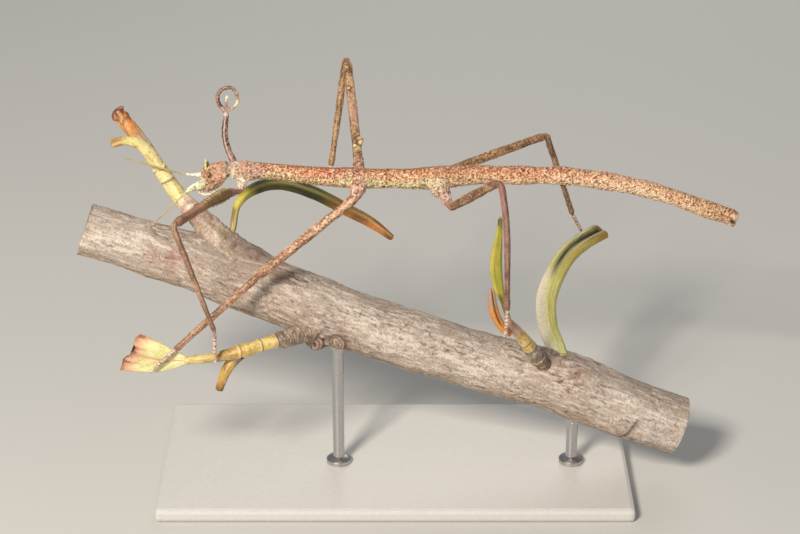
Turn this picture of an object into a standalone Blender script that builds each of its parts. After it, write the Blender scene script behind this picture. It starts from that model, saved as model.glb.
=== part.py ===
"""Giant stick insect, life size, gripping a cut length of branch on a display stand.

World frame: metres, +Z up. The insect lies along X with its head towards -X and
its left side towards -Y. Lengths in this file are millimetres, measured from a
point on the body's axis that stands BODY_HEIGHT above the floor. The origin is
the middle of the stand's underside.
"""
import math

import bmesh
import bpy
from mathutils import Vector

# ---------------------------------------------------------------- driving sizes
MM = 0.001
GAP = 0.3                       # clearance between neighbouring pieces
JOINT_GAP = 0.45                # clearance where a leg part turns away from the last
BODY_HEIGHT = 90.0              # body axis above the floor
INFLATE = 0.3                   # how much a trimming copy is larger than its piece

LEG_SIDES = 8
BODY_SIDES = 12
BRANCH_SIDES = 14

# The body's axis in its upright plane (x, z): level thorax, abdomen arching down.
BODY_AXIS = [(-46.5, 2.45), (-44.0, 2.2), (-39.2, 1.8), (-36.5, 1.85), (-31.1, 1.4),
             (-25.7, 0.8), (-20.0, 0.25), (-16.0, -0.02), (-8.0, -0.4), (0.0, -0.4),
             (4.1, -0.55), (8.1, -0.4), (13.0, -0.05), (18.0, 0.35), (23.0, 0.75),
             (31.1, 0.55), (39.2, 0.5), (45.4, 0.35), (50.0, -0.2), (58.1, -1.4),
             (66.2, -3.1), (74.8, -5.68), (79.9, -7.6), (85.3, -9.65), (90.5, -11.5),
             (97.0, -13.9)]

# Stations of the trunk: x, half width, half height.
TRUNK = [(-45.2, 1.7, 1.75), (-43.6, 2.35, 2.25), (-41.6, 2.6, 2.5), (-39.2, 2.6, 2.6),
         (-36.5, 2.25, 2.2), (-31.1, 2.2, 2.18), (-25.7, 2.3, 2.27), (-20.2, 2.48, 2.46),
         (-16.2, 2.58, 2.55), (-12.2, 2.9, 2.75), (-9.0, 2.8, 2.75), (-5.4, 2.65, 2.6),
         (0.0, 2.62, 2.6), (4.1, 2.8, 2.75), (8.1, 3.08, 2.98), (12.2, 3.2, 3.05),
         (16.2, 2.9, 2.85), (20.2, 2.62, 2.6), (23.2, 2.58, 2.58), (28.0, 2.35, 2.32),
         (34.4, 2.52, 2.52), (39.5, 2.2, 2.16), (45.0, 2.5, 2.48), (50.5, 2.3, 2.28),
         (57.5, 2.48, 2.48), (63.0, 2.2, 2.2), (69.2, 2.3, 2.3), (74.5, 2.08, 2.08),
         (80.2, 2.2, 2.2), (85.5, 2.42, 2.42), (89.5, 2.12, 2.1), (93.5, 2.2, 2.12)]

# Pieces of the trunk from neck to tail: name, front, back, rings.
TRUNK_PIECES = [("prothorax", -44.6, -39.8, 5), ("mesothorax", -39.8, -8.2, 12),
                ("metathorax", -8.2, 12.9, 9), ("abdomen_1", 12.9, 23.2, 4),
                ("abdomen_2", 23.2, 34.0, 3), ("abdomen_3", 34.0, 44.8, 3),
                ("abdomen_4", 44.8, 57.5, 4), ("abdomen_5", 57.5, 69.0, 4),
                ("abdomen_6", 69.0, 80.0, 4), ("abdomen_7", 80.0, 85.8, 3),
                ("abdomen_8", 85.8, 88.8, 2), ("abdomen_9", 88.8, 90.9, 2),
                ("abdomen_10", 90.9, 92.8, 2)]

# Head stations from the neck to the face: x, height of centre, half width, half height.
HEAD = [(-44.95, 2.2, 1.75, 1.75), (-45.5, 2.0, 2.05, 2.3), (-46.7, 1.25, 2.3, 3.1),
        (-48.3, 0.4, 2.42, 3.6), (-50.0, -0.2, 2.35, 3.65), (-51.2, -0.5, 2.1, 3.6),
        (-51.9, -0.6, 1.7, 3.2), (-52.2, -0.6, 1.1, 2.4)]
HEAD_SQUARENESS = 2.4
EYE_RADIUS = 0.72
EYE_PLACE = (-49.8, 2.12, 1.35)          # x, distance from the mid plane, height
HORNS = {"left": ((-50.9, -0.7, 2.6), (-50.9, -0.95, 5.7)),
         "right": ((-50.4, 0.8, 2.6), (-50.5, 1.0, 4.1))}
HORN_SIZES = [(0.4, 0.4), (0.34, 0.34), (0.26, 0.26)]

# Antennae: scape, pedicel and flagellum joints.
ANTENNA_LEFT = [(-50.9, -1.2, -0.8), (-55.4, -2.6, -2.3), (-57.0, -3.1, -3.9),
                (-61.6, -4.5, -8.0), (-66.2, -6.0, -12.1)]
ANTENNA_RIGHT = [(-50.9, 1.1, 0.6), (-55.0, 1.5, 0.0), (-58.0, 1.6, 0.4),
                 (-65.6, 1.6, 2.7), (-73.3, 1.6, 5.0)]
ANTENNA_RADII = [1.1, 0.62, 0.36, 0.28, 0.26]

# Legs. Each part is length, heading from +X towards +Y, and rise, in degrees.
LEGS = {
    "fore_left": {"hip": (-41.0, -1.6, -0.2), "coxa": (2.6, -105, -42),
                  "femur": (31.3, -118, 3.9), "tibia": (33.5, 16.7, -74.9),
                  "tarsus": (9.2, 100, -85)},
    "mid_left": {"hip": (-9.6, -1.6, -0.8), "coxa": (3.9, -112, -47),
                 "femur": (33.6, -153, -31.5), "tibia": (29.9, -155.5, -35),
                 "tarsus": (8.8, -175, -42)},
    "hind_left": {"hip": (10.8, -1.8, -0.4), "coxa": (7.0, -42, -46),
                  "femur": (33.4, -66.4, 30.3), "tibia": (38.2, 46.8, -81.7),
                  "tarsus": (7.8, 112, -84.4)},
    "mid_right": {"hip": (-9.6, 1.8, 0.8), "coxa": (3.6, 98, 38),
                  "femur": (32.6, 96.9, 33.6), "tibia": (28.9, -122.4, -72.4),
                  "tarsus": (8.0, -158, -27)},
    "hind_right": {"hip": (11.0, 1.8, -0.8), "coxa": (4.6, 62, -4),
                   "femur": (34.2, 34, 5), "tibia": (38.5, 61.2, -55.6),
                   "tarsus": (7.6, -15.8, -61.2)},
}

# Sideways bow of leg parts away from a straight line.
BOWS = {"fore_left_femur": (0.3, 0.4, 1.5), "hind_left_tibia": (0.9, 0.0, 0.0)}
BOW_LEAN = 0.7                      # below 1, a bow is strongest near the base

# Leg parts: share of the length from the base, half width and half depth there.
FEMUR_SIZES = {"fore": ((0, 0.75, 0.7), (0.07, 0.78, 0.75), (0.17, 0.92, 1.2), (0.32, 1.0, 1.72),
                        (0.5, 1.0, 1.42), (0.68, 0.95, 1.15), (1, 0.95, 1.15)),
               "mid": ((0, 1.45, 1.45), (0.1, 1.2, 1.22), (0.42, 1.25, 1.32), (1, 1.1, 1.15)),
               "hind": ((0, 1.0, 1.05), (0.42, 1.05, 1.2), (1, 1.0, 1.05))}
TIBIA_SIZES = {"fore": ((0, 0.78, 0.78), (0.42, 0.7, 0.75), (1, 0.6, 0.6)),
               "mid": ((0, 0.9, 0.92), (0.42, 0.86, 0.9), (1, 0.7, 0.72)),
               "hind": ((0, 0.78, 0.82), (0.42, 0.74, 0.78), (1, 0.62, 0.64))}
COXA_RADII = {"fore_left": (1.5, 1.45, 1.3, 1.0), "mid_left": (2.0, 2.35, 2.15, 1.6),
              "hind_left": (2.1, 2.85, 1.9, 1.05), "mid_right": (1.6, 1.5, 1.45, 1.35),
              "hind_right": (1.8, 1.7, 1.5, 1.2)}
TARSUS_RADII = [0.56, 0.5, 0.45, 0.4]
ELBOW = 1.15                    # bend radius where one leg part turns into the next
STRAIGHT_JOINT = math.radians(12)   # a joint that turns less than this has no bend

# Small regrown right foreleg: a stalk that ends in a flat spiral.
CURL_LINE = [(-43.1, 1.2, 1.6), (-43.6, 1.5, 4.0), (-44.5, 1.7, 6.1), (-45.3, 1.9, 8.7),
             (-45.7, 2.1, 11.6), (-45.5, 2.5, 14.5), (-45.3, 2.7, 16.0), (-45.3, 2.9, 17.2),
             (-45.9, 3.0, 18.4), (-47.1, 3.0, 19.9), (-47.4, 3.0, 21.8), (-46.8, 3.0, 23.4),
             (-45.4, 2.9, 24.4), (-43.7, 2.8, 24.6), (-42.5, 2.6, 23.7), (-42.0, 2.4, 22.1),
             (-42.1, 2.2, 20.6), (-43.0, 2.0, 19.4), (-44.3, 1.9, 18.8), (-45.0, 1.8, 19.9),
             (-45.0, 1.7, 21.5), (-44.5, 1.6, 22.9)]
CURL_RADII = [0.8, 0.82, 0.84, 0.82, 0.6, 0.55, 0.5, 0.42, 0.4, 0.34]
CURL_PIECES = [("coxa", 0, 2), ("femur", 2, 14), ("tibia_lower", 14, 24),
               ("tibia_upper", 24, 33), ("tarsus", 33, 42)]

# The branch: x, height of its axis, radius. It runs at one depth.
BRANCH_Y = -4.0
BRANCH = [(-84.0, -13.7, 7.2), (-62.0, -21.3, 7.4), (-50.0, -25.6, 7.9), (-42.0, -28.7, 8.5),
          (-33.0, -32.4, 8.4), (-25.0, -35.9, 8.6), (-8.0, -42.6, 8.2), (10.4, -49.3, 8.1),
          (29.0, -55.5, 8.1), (42.0, -59.3, 8.6), (50.0, -62.0, 9.2), (58.0, -65.6, 8.8),
          (68.0, -69.9, 8.4), (80.0, -74.2, 8.2)]

# Shoots and leaves that grow from it: points of each middle line, with half sizes.
SHOOT_UPPER = [(-44.5, -3.4, -24.0), (-49.0, -1.8, -17.2), (-52.6, 0.4, -12.8),
               (-56.8, 2.6, -9.2), (-60.4, 3.9, -5.0), (-64.2, 5.2, 0.7), (-67.6, 6.2, 6.0),
               (-71.4, 7.0, 11.2), (-75.0, 7.8, 15.9)]
SHOOT_UPPER_RADII = [5.4, 3.8, 2.9, 2.5, 2.2, 1.9, 1.8, 1.75, 1.6]
PETIOLE_UPPER = [(-66.8, 5.2, 5.2), (-69.4, 4.2, 8.2), (-72.6, 3.4, 9.2), (-76.2, 2.6, 8.7)]
PETIOLE_UPPER_SIZES = [(1.5, 1.5), (1.4, 1.3), (1.9, 0.8)]
SHOOT_LOWER = [(-18.5, -7.0, -41.0), (-24.6, -12.0, -41.0), (-28.2, -15.2, -40.8),
               (-32.0, -17.8, -40.5), (-37.0, -20.2, -41.0), (-41.6, -22.5, -41.4),
               (-48.7, -25.0, -41.9), (-56.0, -26.0, -42.3)]
SHOOT_LOWER_RADII = [3.2, 2.6, 2.3, 1.9, 1.75, 1.9, 1.25, 0.95]
FORK_LOWER = [(-41.9, -22.4, -42.4), (-44.4, -22.2, -45.4), (-46.4, -22.0, -49.2),
              (-47.6, -22.0, -53.0)]
FORK_LOWER_RADII = [1.7, 1.5, 1.3, 1.1]
LEAF_LOWER_OUTLINE = [(-56.4, -41.2), (-61.6, -37.4), (-68.6, -33.9), (-70.6, -36.2),
                      (-71.4, -40.2), (-75.4, -45.0), (-63.8, -45.9), (-56.4, -43.4)]
LEAF_LOWER_PLANE = (-56.0, -25.9, 0.02)  # x, y on the leaf, and its slant dy/dx
LEAF_LOWER_THICKNESS = 0.7
SHOOT_RIGHT = [(43.0, -6.5, -55.1), (39.5, -10.6, -49.9), (36.9, -15.2, -44.2),
               (33.8, -19.8, -37.9), (31.2, -22.6, -33.8)]
SHOOT_RIGHT_RADII = [2.2, 2.0, 1.9, 1.55, 1.35]
BUD_RIGHT = [(30.2, -24.4, -35.1), (27.7, -25.0, -31.6), (26.1, -25.2, -27.4),
             (25.5, -25.2, -22.5)]
BUD_RIGHT_RADII = [1.0, 1.25, 1.3, 0.9]
LEAFLET_RIGHT = [(30.4, -21.6, -32.5), (29.0, -20.4, -27.9), (27.6, -19.8, -23.2),
                 (26.9, -19.6, -16.6), (27.8, -20.0, -3.5)]
LEAFLET_RIGHT_SIZES = [(0.7, 0.7), (0.7, 0.6), (1.4, 0.6), (1.7, 0.6), (0.5, 0.4)]
LEAF_CURVED = [(47.2, -3.4, -58.0), (45.0, 0.8, -52.5), (43.0, 7.0, -48.1),
               (42.9, 14.0, -43.8), (45.6, 22.0, -39.8), (49.5, 29.8, -37.1),
               (54.6, 36.6, -35.7), (60.3, 42.4, -35.0)]
LEAF_CURVED_SIZES = [(2.7, 1.5), (2.8, 1.5), (2.9, 1.5), (2.9, 1.5), (3.0, 1.2)]
LEAF_REAR = [(-44.2, -0.6, -15.0), (-43.2, 4.4, -10.4), (-39.4, 10.4, -8.2),
             (-32.0, 17.0, -9.0), (-22.3, 21.8, -14.2), (-13.9, 22.8, -19.4),
             (-7.4, 22.0, -22.8), (-1.2, 20.0, -26.8)]
LEAF_REAR_SIZES = [(0.9, 0.9), (1.0, 1.1), (0.8, 1.9), (0.8, 2.1), (0.8, 2.1), (0.8, 1.9),
                   (0.6, 1.0)]

# Display stand.
BASE_SIZE = (132.0, 62.0, 4.0)
BASE_BEVEL = 1.2
ROD_RADIUS = 1.6
ROD_PLACES = {"front": -16.0, "back": 50.0}
ROD_TOP_DROP = 1.07              # branch radii from its axis down to a rod's top


# ---------------------------------------------------------------- finishes
def finish(name, colour, roughness, metallic=0.0):
    """One Principled material for one sub-part."""
    material = bpy.data.materials.new(name)
    material.use_nodes = True
    shader = material.node_tree.nodes["Principled BSDF"]
    shader.inputs["Base Color"].default_value = (*colour, 1.0)
    shader.inputs["Roughness"].default_value = roughness
    shader.inputs["Metallic"].default_value = metallic
    material.diffuse_color = (*colour, 1.0)
    return material


THORAX_SKIN = ((0.52, 0.34, 0.22), 0.75)
ABDOMEN_SKIN = ((0.55, 0.33, 0.22), 0.75)
HEAD_SKIN = ((0.47, 0.29, 0.19), 0.7)
LEG_SKIN = ((0.38, 0.23, 0.14), 0.75)
COXA_SKIN = ((0.55, 0.40, 0.38), 0.7)
PALE_HORN = ((0.75, 0.68, 0.42), 0.5)
EYE_LENS = ((0.22, 0.12, 0.08), 0.25)
BARK = ((0.40, 0.32, 0.25), 0.85)
YOUNG_SHOOT = ((0.62, 0.47, 0.16), 0.55)
DRY_LEAF = ((0.50, 0.25, 0.09), 0.6)
GREEN_LEAF = ((0.38, 0.40, 0.14), 0.5)
STAND_PAINT = ((0.70, 0.69, 0.66), 0.45)
STAND_STEEL = ((0.62, 0.62, 0.60), 0.3, 1.0)


# ---------------------------------------------------------------- shape helpers
def smooth_line(points, per_span):
    """Catmull-Rom curve through the points, with per_span steps in each span."""
    knots = [Vector(p) for p in points]
    knots = [2 * knots[0] - knots[1]] + knots + [2 * knots[-1] - knots[-2]]
    line = []
    for i in range(1, len(knots) - 2):
        a, b, c, d = knots[i - 1:i + 3]
        for step in range(per_span):
            t = step / per_span
            line.append(0.5 * (2 * b + (c - a) * t + (2 * a - 5 * b + 4 * c - d) * t * t
                               + (3 * b - a - 3 * c + d) * t ** 3))
    line.append(knots[-2].copy())
    return line


def between(table, x):
    """Values of a table (key, value, ...) at x, eased between its rows."""
    if x <= table[0][0]:
        return table[0][1:]
    for low, high in zip(table, table[1:]):
        if x <= high[0]:
            t = (x - low[0]) / (high[0] - low[0])
            t = t * t * (3 - 2 * t)
            return tuple(p + (q - p) * t for p, q in zip(low[1:], high[1:]))
    return table[-1][1:]


def ring(centre, side, up, half_width, half_height, sides, power=2.0):
    """Points of a superellipse around centre."""
    points = []
    for k in range(sides):
        angle = 2 * math.pi * (k + 0.5) / sides
        c, s = math.cos(angle), math.sin(angle)
        points.append(centre
                      + side * (half_width * math.copysign(abs(c) ** (2 / power), c))
                      + up * (half_height * math.copysign(abs(s) ** (2 / power), s)))
    return points


def face_outwards(mesh):
    """Turn a closed mesh right side out."""
    shape = bmesh.new()
    shape.from_mesh(mesh)
    if shape.calc_volume(signed=True) < 0:
        bmesh.ops.reverse_faces(shape, faces=shape.faces)
    shape.to_mesh(mesh)
    shape.free()


def solid(name, rings, skin, parent, cutter=False):
    """Closed solid lofted through rings of equal length, capped flat at both ends."""
    count = len(rings[0])
    vertices = [p * MM for one in rings for p in one]
    faces = []
    for r in range(len(rings) - 1):
        for k in range(count):
            n = (k + 1) % count
            faces.append((r * count + k, r * count + n,
                          (r + 1) * count + n, (r + 1) * count + k))
    faces.append(tuple(reversed(range(count))))
    faces.append(tuple(range((len(rings) - 1) * count, len(rings) * count)))
    mesh = bpy.data.meshes.new(name)
    mesh.from_pydata([tuple(v) for v in vertices], [], faces)
    face_outwards(mesh)
    mesh.shade_smooth()
    mesh.set_sharp_from_angle(angle=math.radians(50))
    made = bpy.data.objects.new(name, mesh)
    bpy.context.scene.collection.objects.link(made)
    made.parent = parent
    if cutter:
        made.hide_render = True
        made.display_type = "WIRE"
    else:
        mesh.materials.append(finish(name, *skin))
    return made


def frames_along(path, first_up):
    """Tangent, side and up at each point of a path, carried along without twist."""
    frames = []
    up = Vector(first_up)
    for i, point in enumerate(path):
        before = path[max(i - 1, 0)]
        after = path[min(i + 1, len(path) - 1)]
        tangent = (after - before).normalized()
        up = (up - tangent * up.dot(tangent)).normalized()
        side = up.cross(tangent)
        frames.append((point, tangent, side, up))
    return frames


def tube(name, path, sizes, skin, parent, sides=LEG_SIDES, first_up=(0, 0, 1),
         cutter=False, power=2.0):
    """Solid along a path. sizes gives (half width, half height) at each point."""
    rings = []
    for (point, _, side, up), (wide, high) in zip(frames_along(path, first_up), sizes):
        rings.append(ring(point, side, up, wide, high, sides, power))
    return solid(name, rings, skin, parent, cutter)


def spread(values, count):
    """Resample a list of numbers or tuples to count entries, by straight lines."""
    out = []
    for i in range(count):
        place = i / (count - 1) * (len(values) - 1)
        low = min(int(place), len(values) - 2)
        t = place - low
        a, b = values[low], values[low + 1]
        out.append(tuple(p + (q - p) * t for p, q in zip(a, b)))
    return out


def rod_sizes(radii, count):
    """Equal half widths and half heights from a list of radii."""
    return spread([(r, r) for r in radii], count)


def trim(piece, cutter):
    """Cut a piece back to just clear of its neighbour."""
    cut = piece.modifiers.new("fit", "BOOLEAN")
    cut.operation = "DIFFERENCE"
    cut.solver = "EXACT"
    cut.object = cutter


def heading(azimuth, rise):
    """Unit vector from a heading and a rise in degrees."""
    a, r = math.radians(azimuth), math.radians(rise)
    return Vector((math.cos(a) * math.cos(r), math.sin(a) * math.cos(r), math.sin(r)))


def empty(name):
    """Empty that carries one group of pieces at the height of the body."""
    made = bpy.data.objects.new(name, None)
    made.location = (0.0, 0.0, BODY_HEIGHT * MM)
    bpy.context.scene.collection.objects.link(made)
    return made


# ---------------------------------------------------------------- trunk and head
def axis_height(x):
    """Height of the trunk's axis at x."""
    line = smooth_line([(px, 0, pz) for px, pz in BODY_AXIS], 8)
    for low, high in zip(line, line[1:]):
        if x <= high.x:
            return low.z + (high.z - low.z) * (x - low.x) / (high.x - low.x)
    return line[-1].z


def trunk_rings(front, back, count, extra=0.0):
    """Rings square to the trunk's axis between two stations."""
    rings = []
    for i in range(count):
        x = front + (back - front) * i / (count - 1)
        slope = (axis_height(x + 0.5) - axis_height(x - 0.5))
        tangent = Vector((1, 0, slope)).normalized()
        up = Vector((-tangent.z, 0, tangent.x))
        wide, high = between(TRUNK, x)
        rings.append(ring(Vector((x, 0, axis_height(x))), Vector((0, -1, 0)), up,
                          wide + extra, high + extra, BODY_SIDES))
    return rings


def make_trunk(insect):
    """Thorax and abdomen, parted by thin cuts."""
    for name, front, back, count in TRUNK_PIECES:
        skin = THORAX_SKIN if "thorax" in name else ABDOMEN_SKIN
        solid(name, trunk_rings(front + GAP / 2, back - GAP / 2, count), skin, insect)


def head_rings(extra=0.0):
    """Rings of the head from the neck to the face."""
    rings = []
    for x, z, wide, high in HEAD:
        rings.append(ring(Vector((x, 0, z)), Vector((0, 1, 0)), Vector((0, 0, 1)),
                          wide + extra, high + extra, BODY_SIDES, HEAD_SQUARENESS))
    rings[-1] = [p - Vector((extra, 0, 0)) for p in rings[-1]]
    return rings


def ball(name, centre, radius, skin, parent, cutter=False):
    """Round solid made of rings along Y."""
    rings = []
    for i in range(1, 6):
        angle = math.pi * i / 6
        rings.append(ring(Vector(centre) + Vector((0, -radius * math.cos(angle), 0)),
                          Vector((0, 0, 1)), Vector((1, 0, 0)),
                          radius * math.sin(angle), radius * math.sin(angle), LEG_SIDES))
    return solid(name, rings, skin, parent, cutter)


def make_head(insect):
    """Head with its eyes in sockets, two small horns and two antennae."""
    head = solid("head", head_rings(), HEAD_SKIN, insect)
    clear = solid("cut_head", head_rings(INFLATE), None, insect, cutter=True)
    for side, sign in (("left", -1), ("right", 1)):
        x, y, z = EYE_PLACE
        place = (x, sign * y, z)
        ball("eye_" + side, place, EYE_RADIUS, EYE_LENS, insect)
        trim(head, ball("cut_eye_" + side, place, EYE_RADIUS + GAP, None, insect, True))
        base, tip = (Vector(point) for point in HORNS[side])
        horn = tube("horn_" + side, [base, base.lerp(tip, 0.6), tip], HORN_SIZES,
                    PALE_HORN, insect, first_up=(1, 0, 0))
        trim(horn, clear)
    for side, joints in (("left", ANTENNA_LEFT), ("right", ANTENNA_RIGHT)):
        path = smooth_line(joints, 2)
        antenna = tube("antenna_" + side, path, rod_sizes(ANTENNA_RADII, len(path)),
                       PALE_HORN, insect, sides=6)
        trim(antenna, clear)


# ---------------------------------------------------------------- legs
def elbow_path(start, into, end, steps):
    """Path that leaves start along into, turns on a small arc and runs straight to end."""
    onward = (end - start).normalized()
    if into.angle(onward) < STRAIGHT_JOINT:
        return [start.lerp(end, i / steps) for i in range(steps + 1)]
    for _ in range(4):
        angle = into.angle(onward)
        across = (onward - into * onward.dot(into)).normalized()
        arc = [start + ELBOW * (math.sin(angle * i / 3) * into
                                + (1 - math.cos(angle * i / 3)) * across) for i in range(4)]
        onward = (end - arc[-1]).normalized()
    run = (end - arc[-1]).length
    return arc + [arc[-1] + onward * (run * (i + 1) / steps) for i in range(steps)]


def distances(path):
    """Distance of each point of a path from its first point, along the path."""
    out = [0.0]
    for a, b in zip(path, path[1:]):
        out.append(out[-1] + (b - a).length)
    return out


def bowed(path, bow):
    """Push a path sideways between its ends."""
    if bow is None:
        return path
    lengths = distances(path)
    return [point + Vector(bow) * math.sin(math.pi * (length / lengths[-1]) ** BOW_LEAN) ** 1.5
            if 0 < length < lengths[-1] else point
            for point, length in zip(path, lengths)]


def part_sizes(path, stations):
    """Half sizes along a leg part, eased between the stations of its table."""
    lengths = distances(path)
    sizes = [between(stations, length / lengths[-1]) for length in lengths]
    sizes[0] = tuple(s * 0.8 for s in sizes[0])
    return sizes


def make_leg(name, parts, insect, clear_trunk):
    """Coxa, femur, tibia and tarsus of one leg, parted by thin cuts."""
    pair = name.split("_")[0]
    hip = Vector(parts["hip"])
    into = heading(*parts["coxa"][1:])
    tip = hip + into * parts["coxa"][0]
    radii = COXA_RADII[name]
    path = [hip.lerp(tip, i / (len(radii) - 1)) for i in range(len(radii))]
    coxa = tube(name + "_coxa", path, [(size, size) for size in radii], COXA_SKIN, insect)
    trim(coxa, clear_trunk)
    joint = tip
    for part, table, steps in (("femur", FEMUR_SIZES[pair], 9), ("tibia", TIBIA_SIZES[pair], 5)):
        length, azimuth, rise = parts[part]
        end = joint + heading(azimuth, rise) * length
        path = elbow_path(joint + into * JOINT_GAP, into, end, steps)
        path = bowed(path, BOWS.get(name + "_" + part))
        tube(name + "_" + part, path, part_sizes(path, table), LEG_SKIN, insect)
        into = (path[-1] - path[-2]).normalized()
        joint = end
    length, azimuth, rise = parts["tarsus"]
    start = joint + into * GAP
    onward = heading(azimuth, rise)
    path = [start, start + (into + onward) * 0.4, start + onward * length * 0.6,
            start + onward * length]
    tube(name + "_tarsus", path, rod_sizes(TARSUS_RADII, len(path)),
         LEG_SKIN, insect, sides=6)


def make_curl(insect, clear_trunk):
    """The regrown right foreleg in lengths that meet with thin cuts."""
    line = smooth_line(CURL_LINE, 2)
    radii = rod_sizes(CURL_RADII, len(line))
    for part, first, last in CURL_PIECES:
        path = line[first:last + 1]
        along = (path[1] - path[0]).normalized()
        path = [path[0] + along * GAP] + path[1:]
        made = tube("fore_right_" + part, path, radii[first:last + 1], LEG_SKIN, insect,
                    sides=6, first_up=(0, 1, 0))
        if part == "coxa":
            trim(made, clear_trunk)


# ---------------------------------------------------------------- perch
def branch_rings(extra=0.0):
    """Rings of the branch, square to its own axis."""
    path = [Vector((x, BRANCH_Y, z)) for x, z, _ in BRANCH]
    radii = [r + extra for _, _, r in BRANCH]
    return [ring(point, side, up, r, r, BRANCH_SIDES)
            for (point, _, side, up), r in zip(frames_along(path, (0, 0, 1)), radii)]


def make_perch(perch):
    """Cut branch with its shoots and leaves."""
    solid("branch", branch_rings(), BARK, perch)
    clear = solid("cut_branch", branch_rings(INFLATE), None, perch, cutter=True)
    path = smooth_line(SHOOT_UPPER, 1)
    trim(tube("shoot_upper", path, rod_sizes(SHOOT_UPPER_RADII, len(path)), YOUNG_SHOOT,
              perch, sides=10), clear)
    clear_upper = tube("cut_shoot_upper", path,
                       rod_sizes([r + INFLATE for r in SHOOT_UPPER_RADII], len(path)),
                       None, perch, sides=10, cutter=True)
    path = smooth_line(PETIOLE_UPPER, 2)
    trim(tube("petiole_upper", path, spread(PETIOLE_UPPER_SIZES, len(path)), YOUNG_SHOOT,
              perch), clear_upper)
    path = smooth_line(SHOOT_LOWER, 1)
    trim(tube("shoot_lower", path, rod_sizes(SHOOT_LOWER_RADII, len(path)), YOUNG_SHOOT,
              perch), clear)
    clear_lower = tube("cut_shoot_lower", path,
                       rod_sizes([r + INFLATE for r in SHOOT_LOWER_RADII], len(path)),
                       None, perch, cutter=True)
    path = smooth_line(FORK_LOWER, 1)
    trim(tube("fork_lower", path, rod_sizes(FORK_LOWER_RADII, len(path)), YOUNG_SHOOT,
              perch), clear_lower)
    make_leaf_lower(perch)
    path = smooth_line(SHOOT_RIGHT, 1)
    trim(tube("shoot_right", path, rod_sizes(SHOOT_RIGHT_RADII, len(path)), YOUNG_SHOOT,
              perch), clear)
    clear_right = tube("cut_shoot_right", path,
                       rod_sizes([r + INFLATE for r in SHOOT_RIGHT_RADII], len(path)),
                       None, perch, cutter=True)
    path = smooth_line(BUD_RIGHT, 2)
    trim(tube("bud_right", path, rod_sizes(BUD_RIGHT_RADII, len(path)), DRY_LEAF, perch),
         clear_right)
    path = smooth_line(LEAFLET_RIGHT, 2)
    trim(tube("leaflet_right", path, spread(LEAFLET_RIGHT_SIZES, len(path)), GREEN_LEAF,
              perch, first_up=(0, 1, 0)), clear_right)
    path = smooth_line(LEAF_CURVED, 2)
    trim(tube("leaf_curved", path, spread(LEAF_CURVED_SIZES, len(path)), GREEN_LEAF, perch,
              first_up=(0, 1, 0)), clear)
    path = smooth_line(LEAF_REAR, 2)
    leaf_rear = tube("leaf_rear", path, spread(LEAF_REAR_SIZES, len(path)), DRY_LEAF, perch)
    trim(leaf_rear, clear)
    trim(leaf_rear, clear_upper)


def make_leaf_lower(perch):
    """Eaten leaf remnant at the lower shoot's tip: a flat fan."""
    x0, y0, slant = LEAF_LOWER_PLANE
    half = LEAF_LOWER_THICKNESS / 2
    outline = [Vector((x, y0 + slant * (x - x0), z)) for x, z in LEAF_LOWER_OUTLINE]
    front = [p + Vector((0, -half, 0)) for p in outline]
    back = [p + Vector((0, half, 0)) for p in outline]
    solid("leaf_lower", [front, back], YOUNG_SHOOT, perch)


# ---------------------------------------------------------------- stand
def make_stand():
    """Flat base with two short rods up to the branch."""
    length, depth, thickness = BASE_SIZE
    bpy.ops.mesh.primitive_cube_add(size=1)
    base = bpy.context.active_object
    base.name = base.data.name = "stand_base"
    for vertex in base.data.vertices:
        vertex.co = Vector((vertex.co.x * length, vertex.co.y * depth,
                            (vertex.co.z + 0.5) * thickness)) * MM
    bevel = base.modifiers.new("edges", "BEVEL")
    bevel.width = BASE_BEVEL * MM
    bevel.segments = 2
    base.data.materials.append(finish("stand_base", *STAND_PAINT))
    stand = bpy.data.objects.new("stand", None)
    bpy.context.scene.collection.objects.link(stand)
    base.parent = stand
    for name, x in ROD_PLACES.items():
        rings = [ring(Vector((x, BRANCH_Y, thickness + GAP)), Vector((1, 0, 0)),
                      Vector((0, 1, 0)), ROD_RADIUS, ROD_RADIUS, BRANCH_SIDES)]
        top = []
        for p in ring(Vector((x, BRANCH_Y, 0)), Vector((1, 0, 0)), Vector((0, 1, 0)),
                      ROD_RADIUS, ROD_RADIUS, BRANCH_SIDES):
            z, radius = between(BRANCH, p.x)
            height = BODY_HEIGHT + z - radius * ROD_TOP_DROP - GAP
            top.append(Vector((p.x, p.y, height)))
        rings.append(top)
        solid("stand_rod_" + name, rings, STAND_STEEL, stand)


# ---------------------------------------------------------------- build
def main():
    """Clear the scene and build every piece."""
    for old in list(bpy.data.objects):
        bpy.data.objects.remove(old, do_unlink=True)
    insect = empty("insect")
    perch = empty("perch")
    clear_trunk = solid("cut_trunk", trunk_rings(-46.0, 20.0, 40, INFLATE), None, insect,
                        cutter=True)
    make_head(insect)
    make_trunk(insect)
    for name, parts in LEGS.items():
        make_leg(name, parts, insect, clear_trunk)
    make_curl(insect, clear_trunk)
    make_perch(perch)
    make_stand()


main()
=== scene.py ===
"""Looks of a giant stick insect that clings to a cut branch, on a plain display stand.

The frame is in metres, +Z up. Shapes here are made in millimetres around the body's
reference point, BODY_HEIGHT above the floor, with the same sizes as the solids: the
head points to -X and the insect's left side to -Y. piece() scales and lifts them once.
The insect and the perch carry their colours in a point attribute named "tint", worked out
from where each point lies on its part, and the materials add what is finer than the mesh.
"""

import math

import bpy
import numpy as np
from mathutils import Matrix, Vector
from mathutils.kdtree import KDTree


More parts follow.
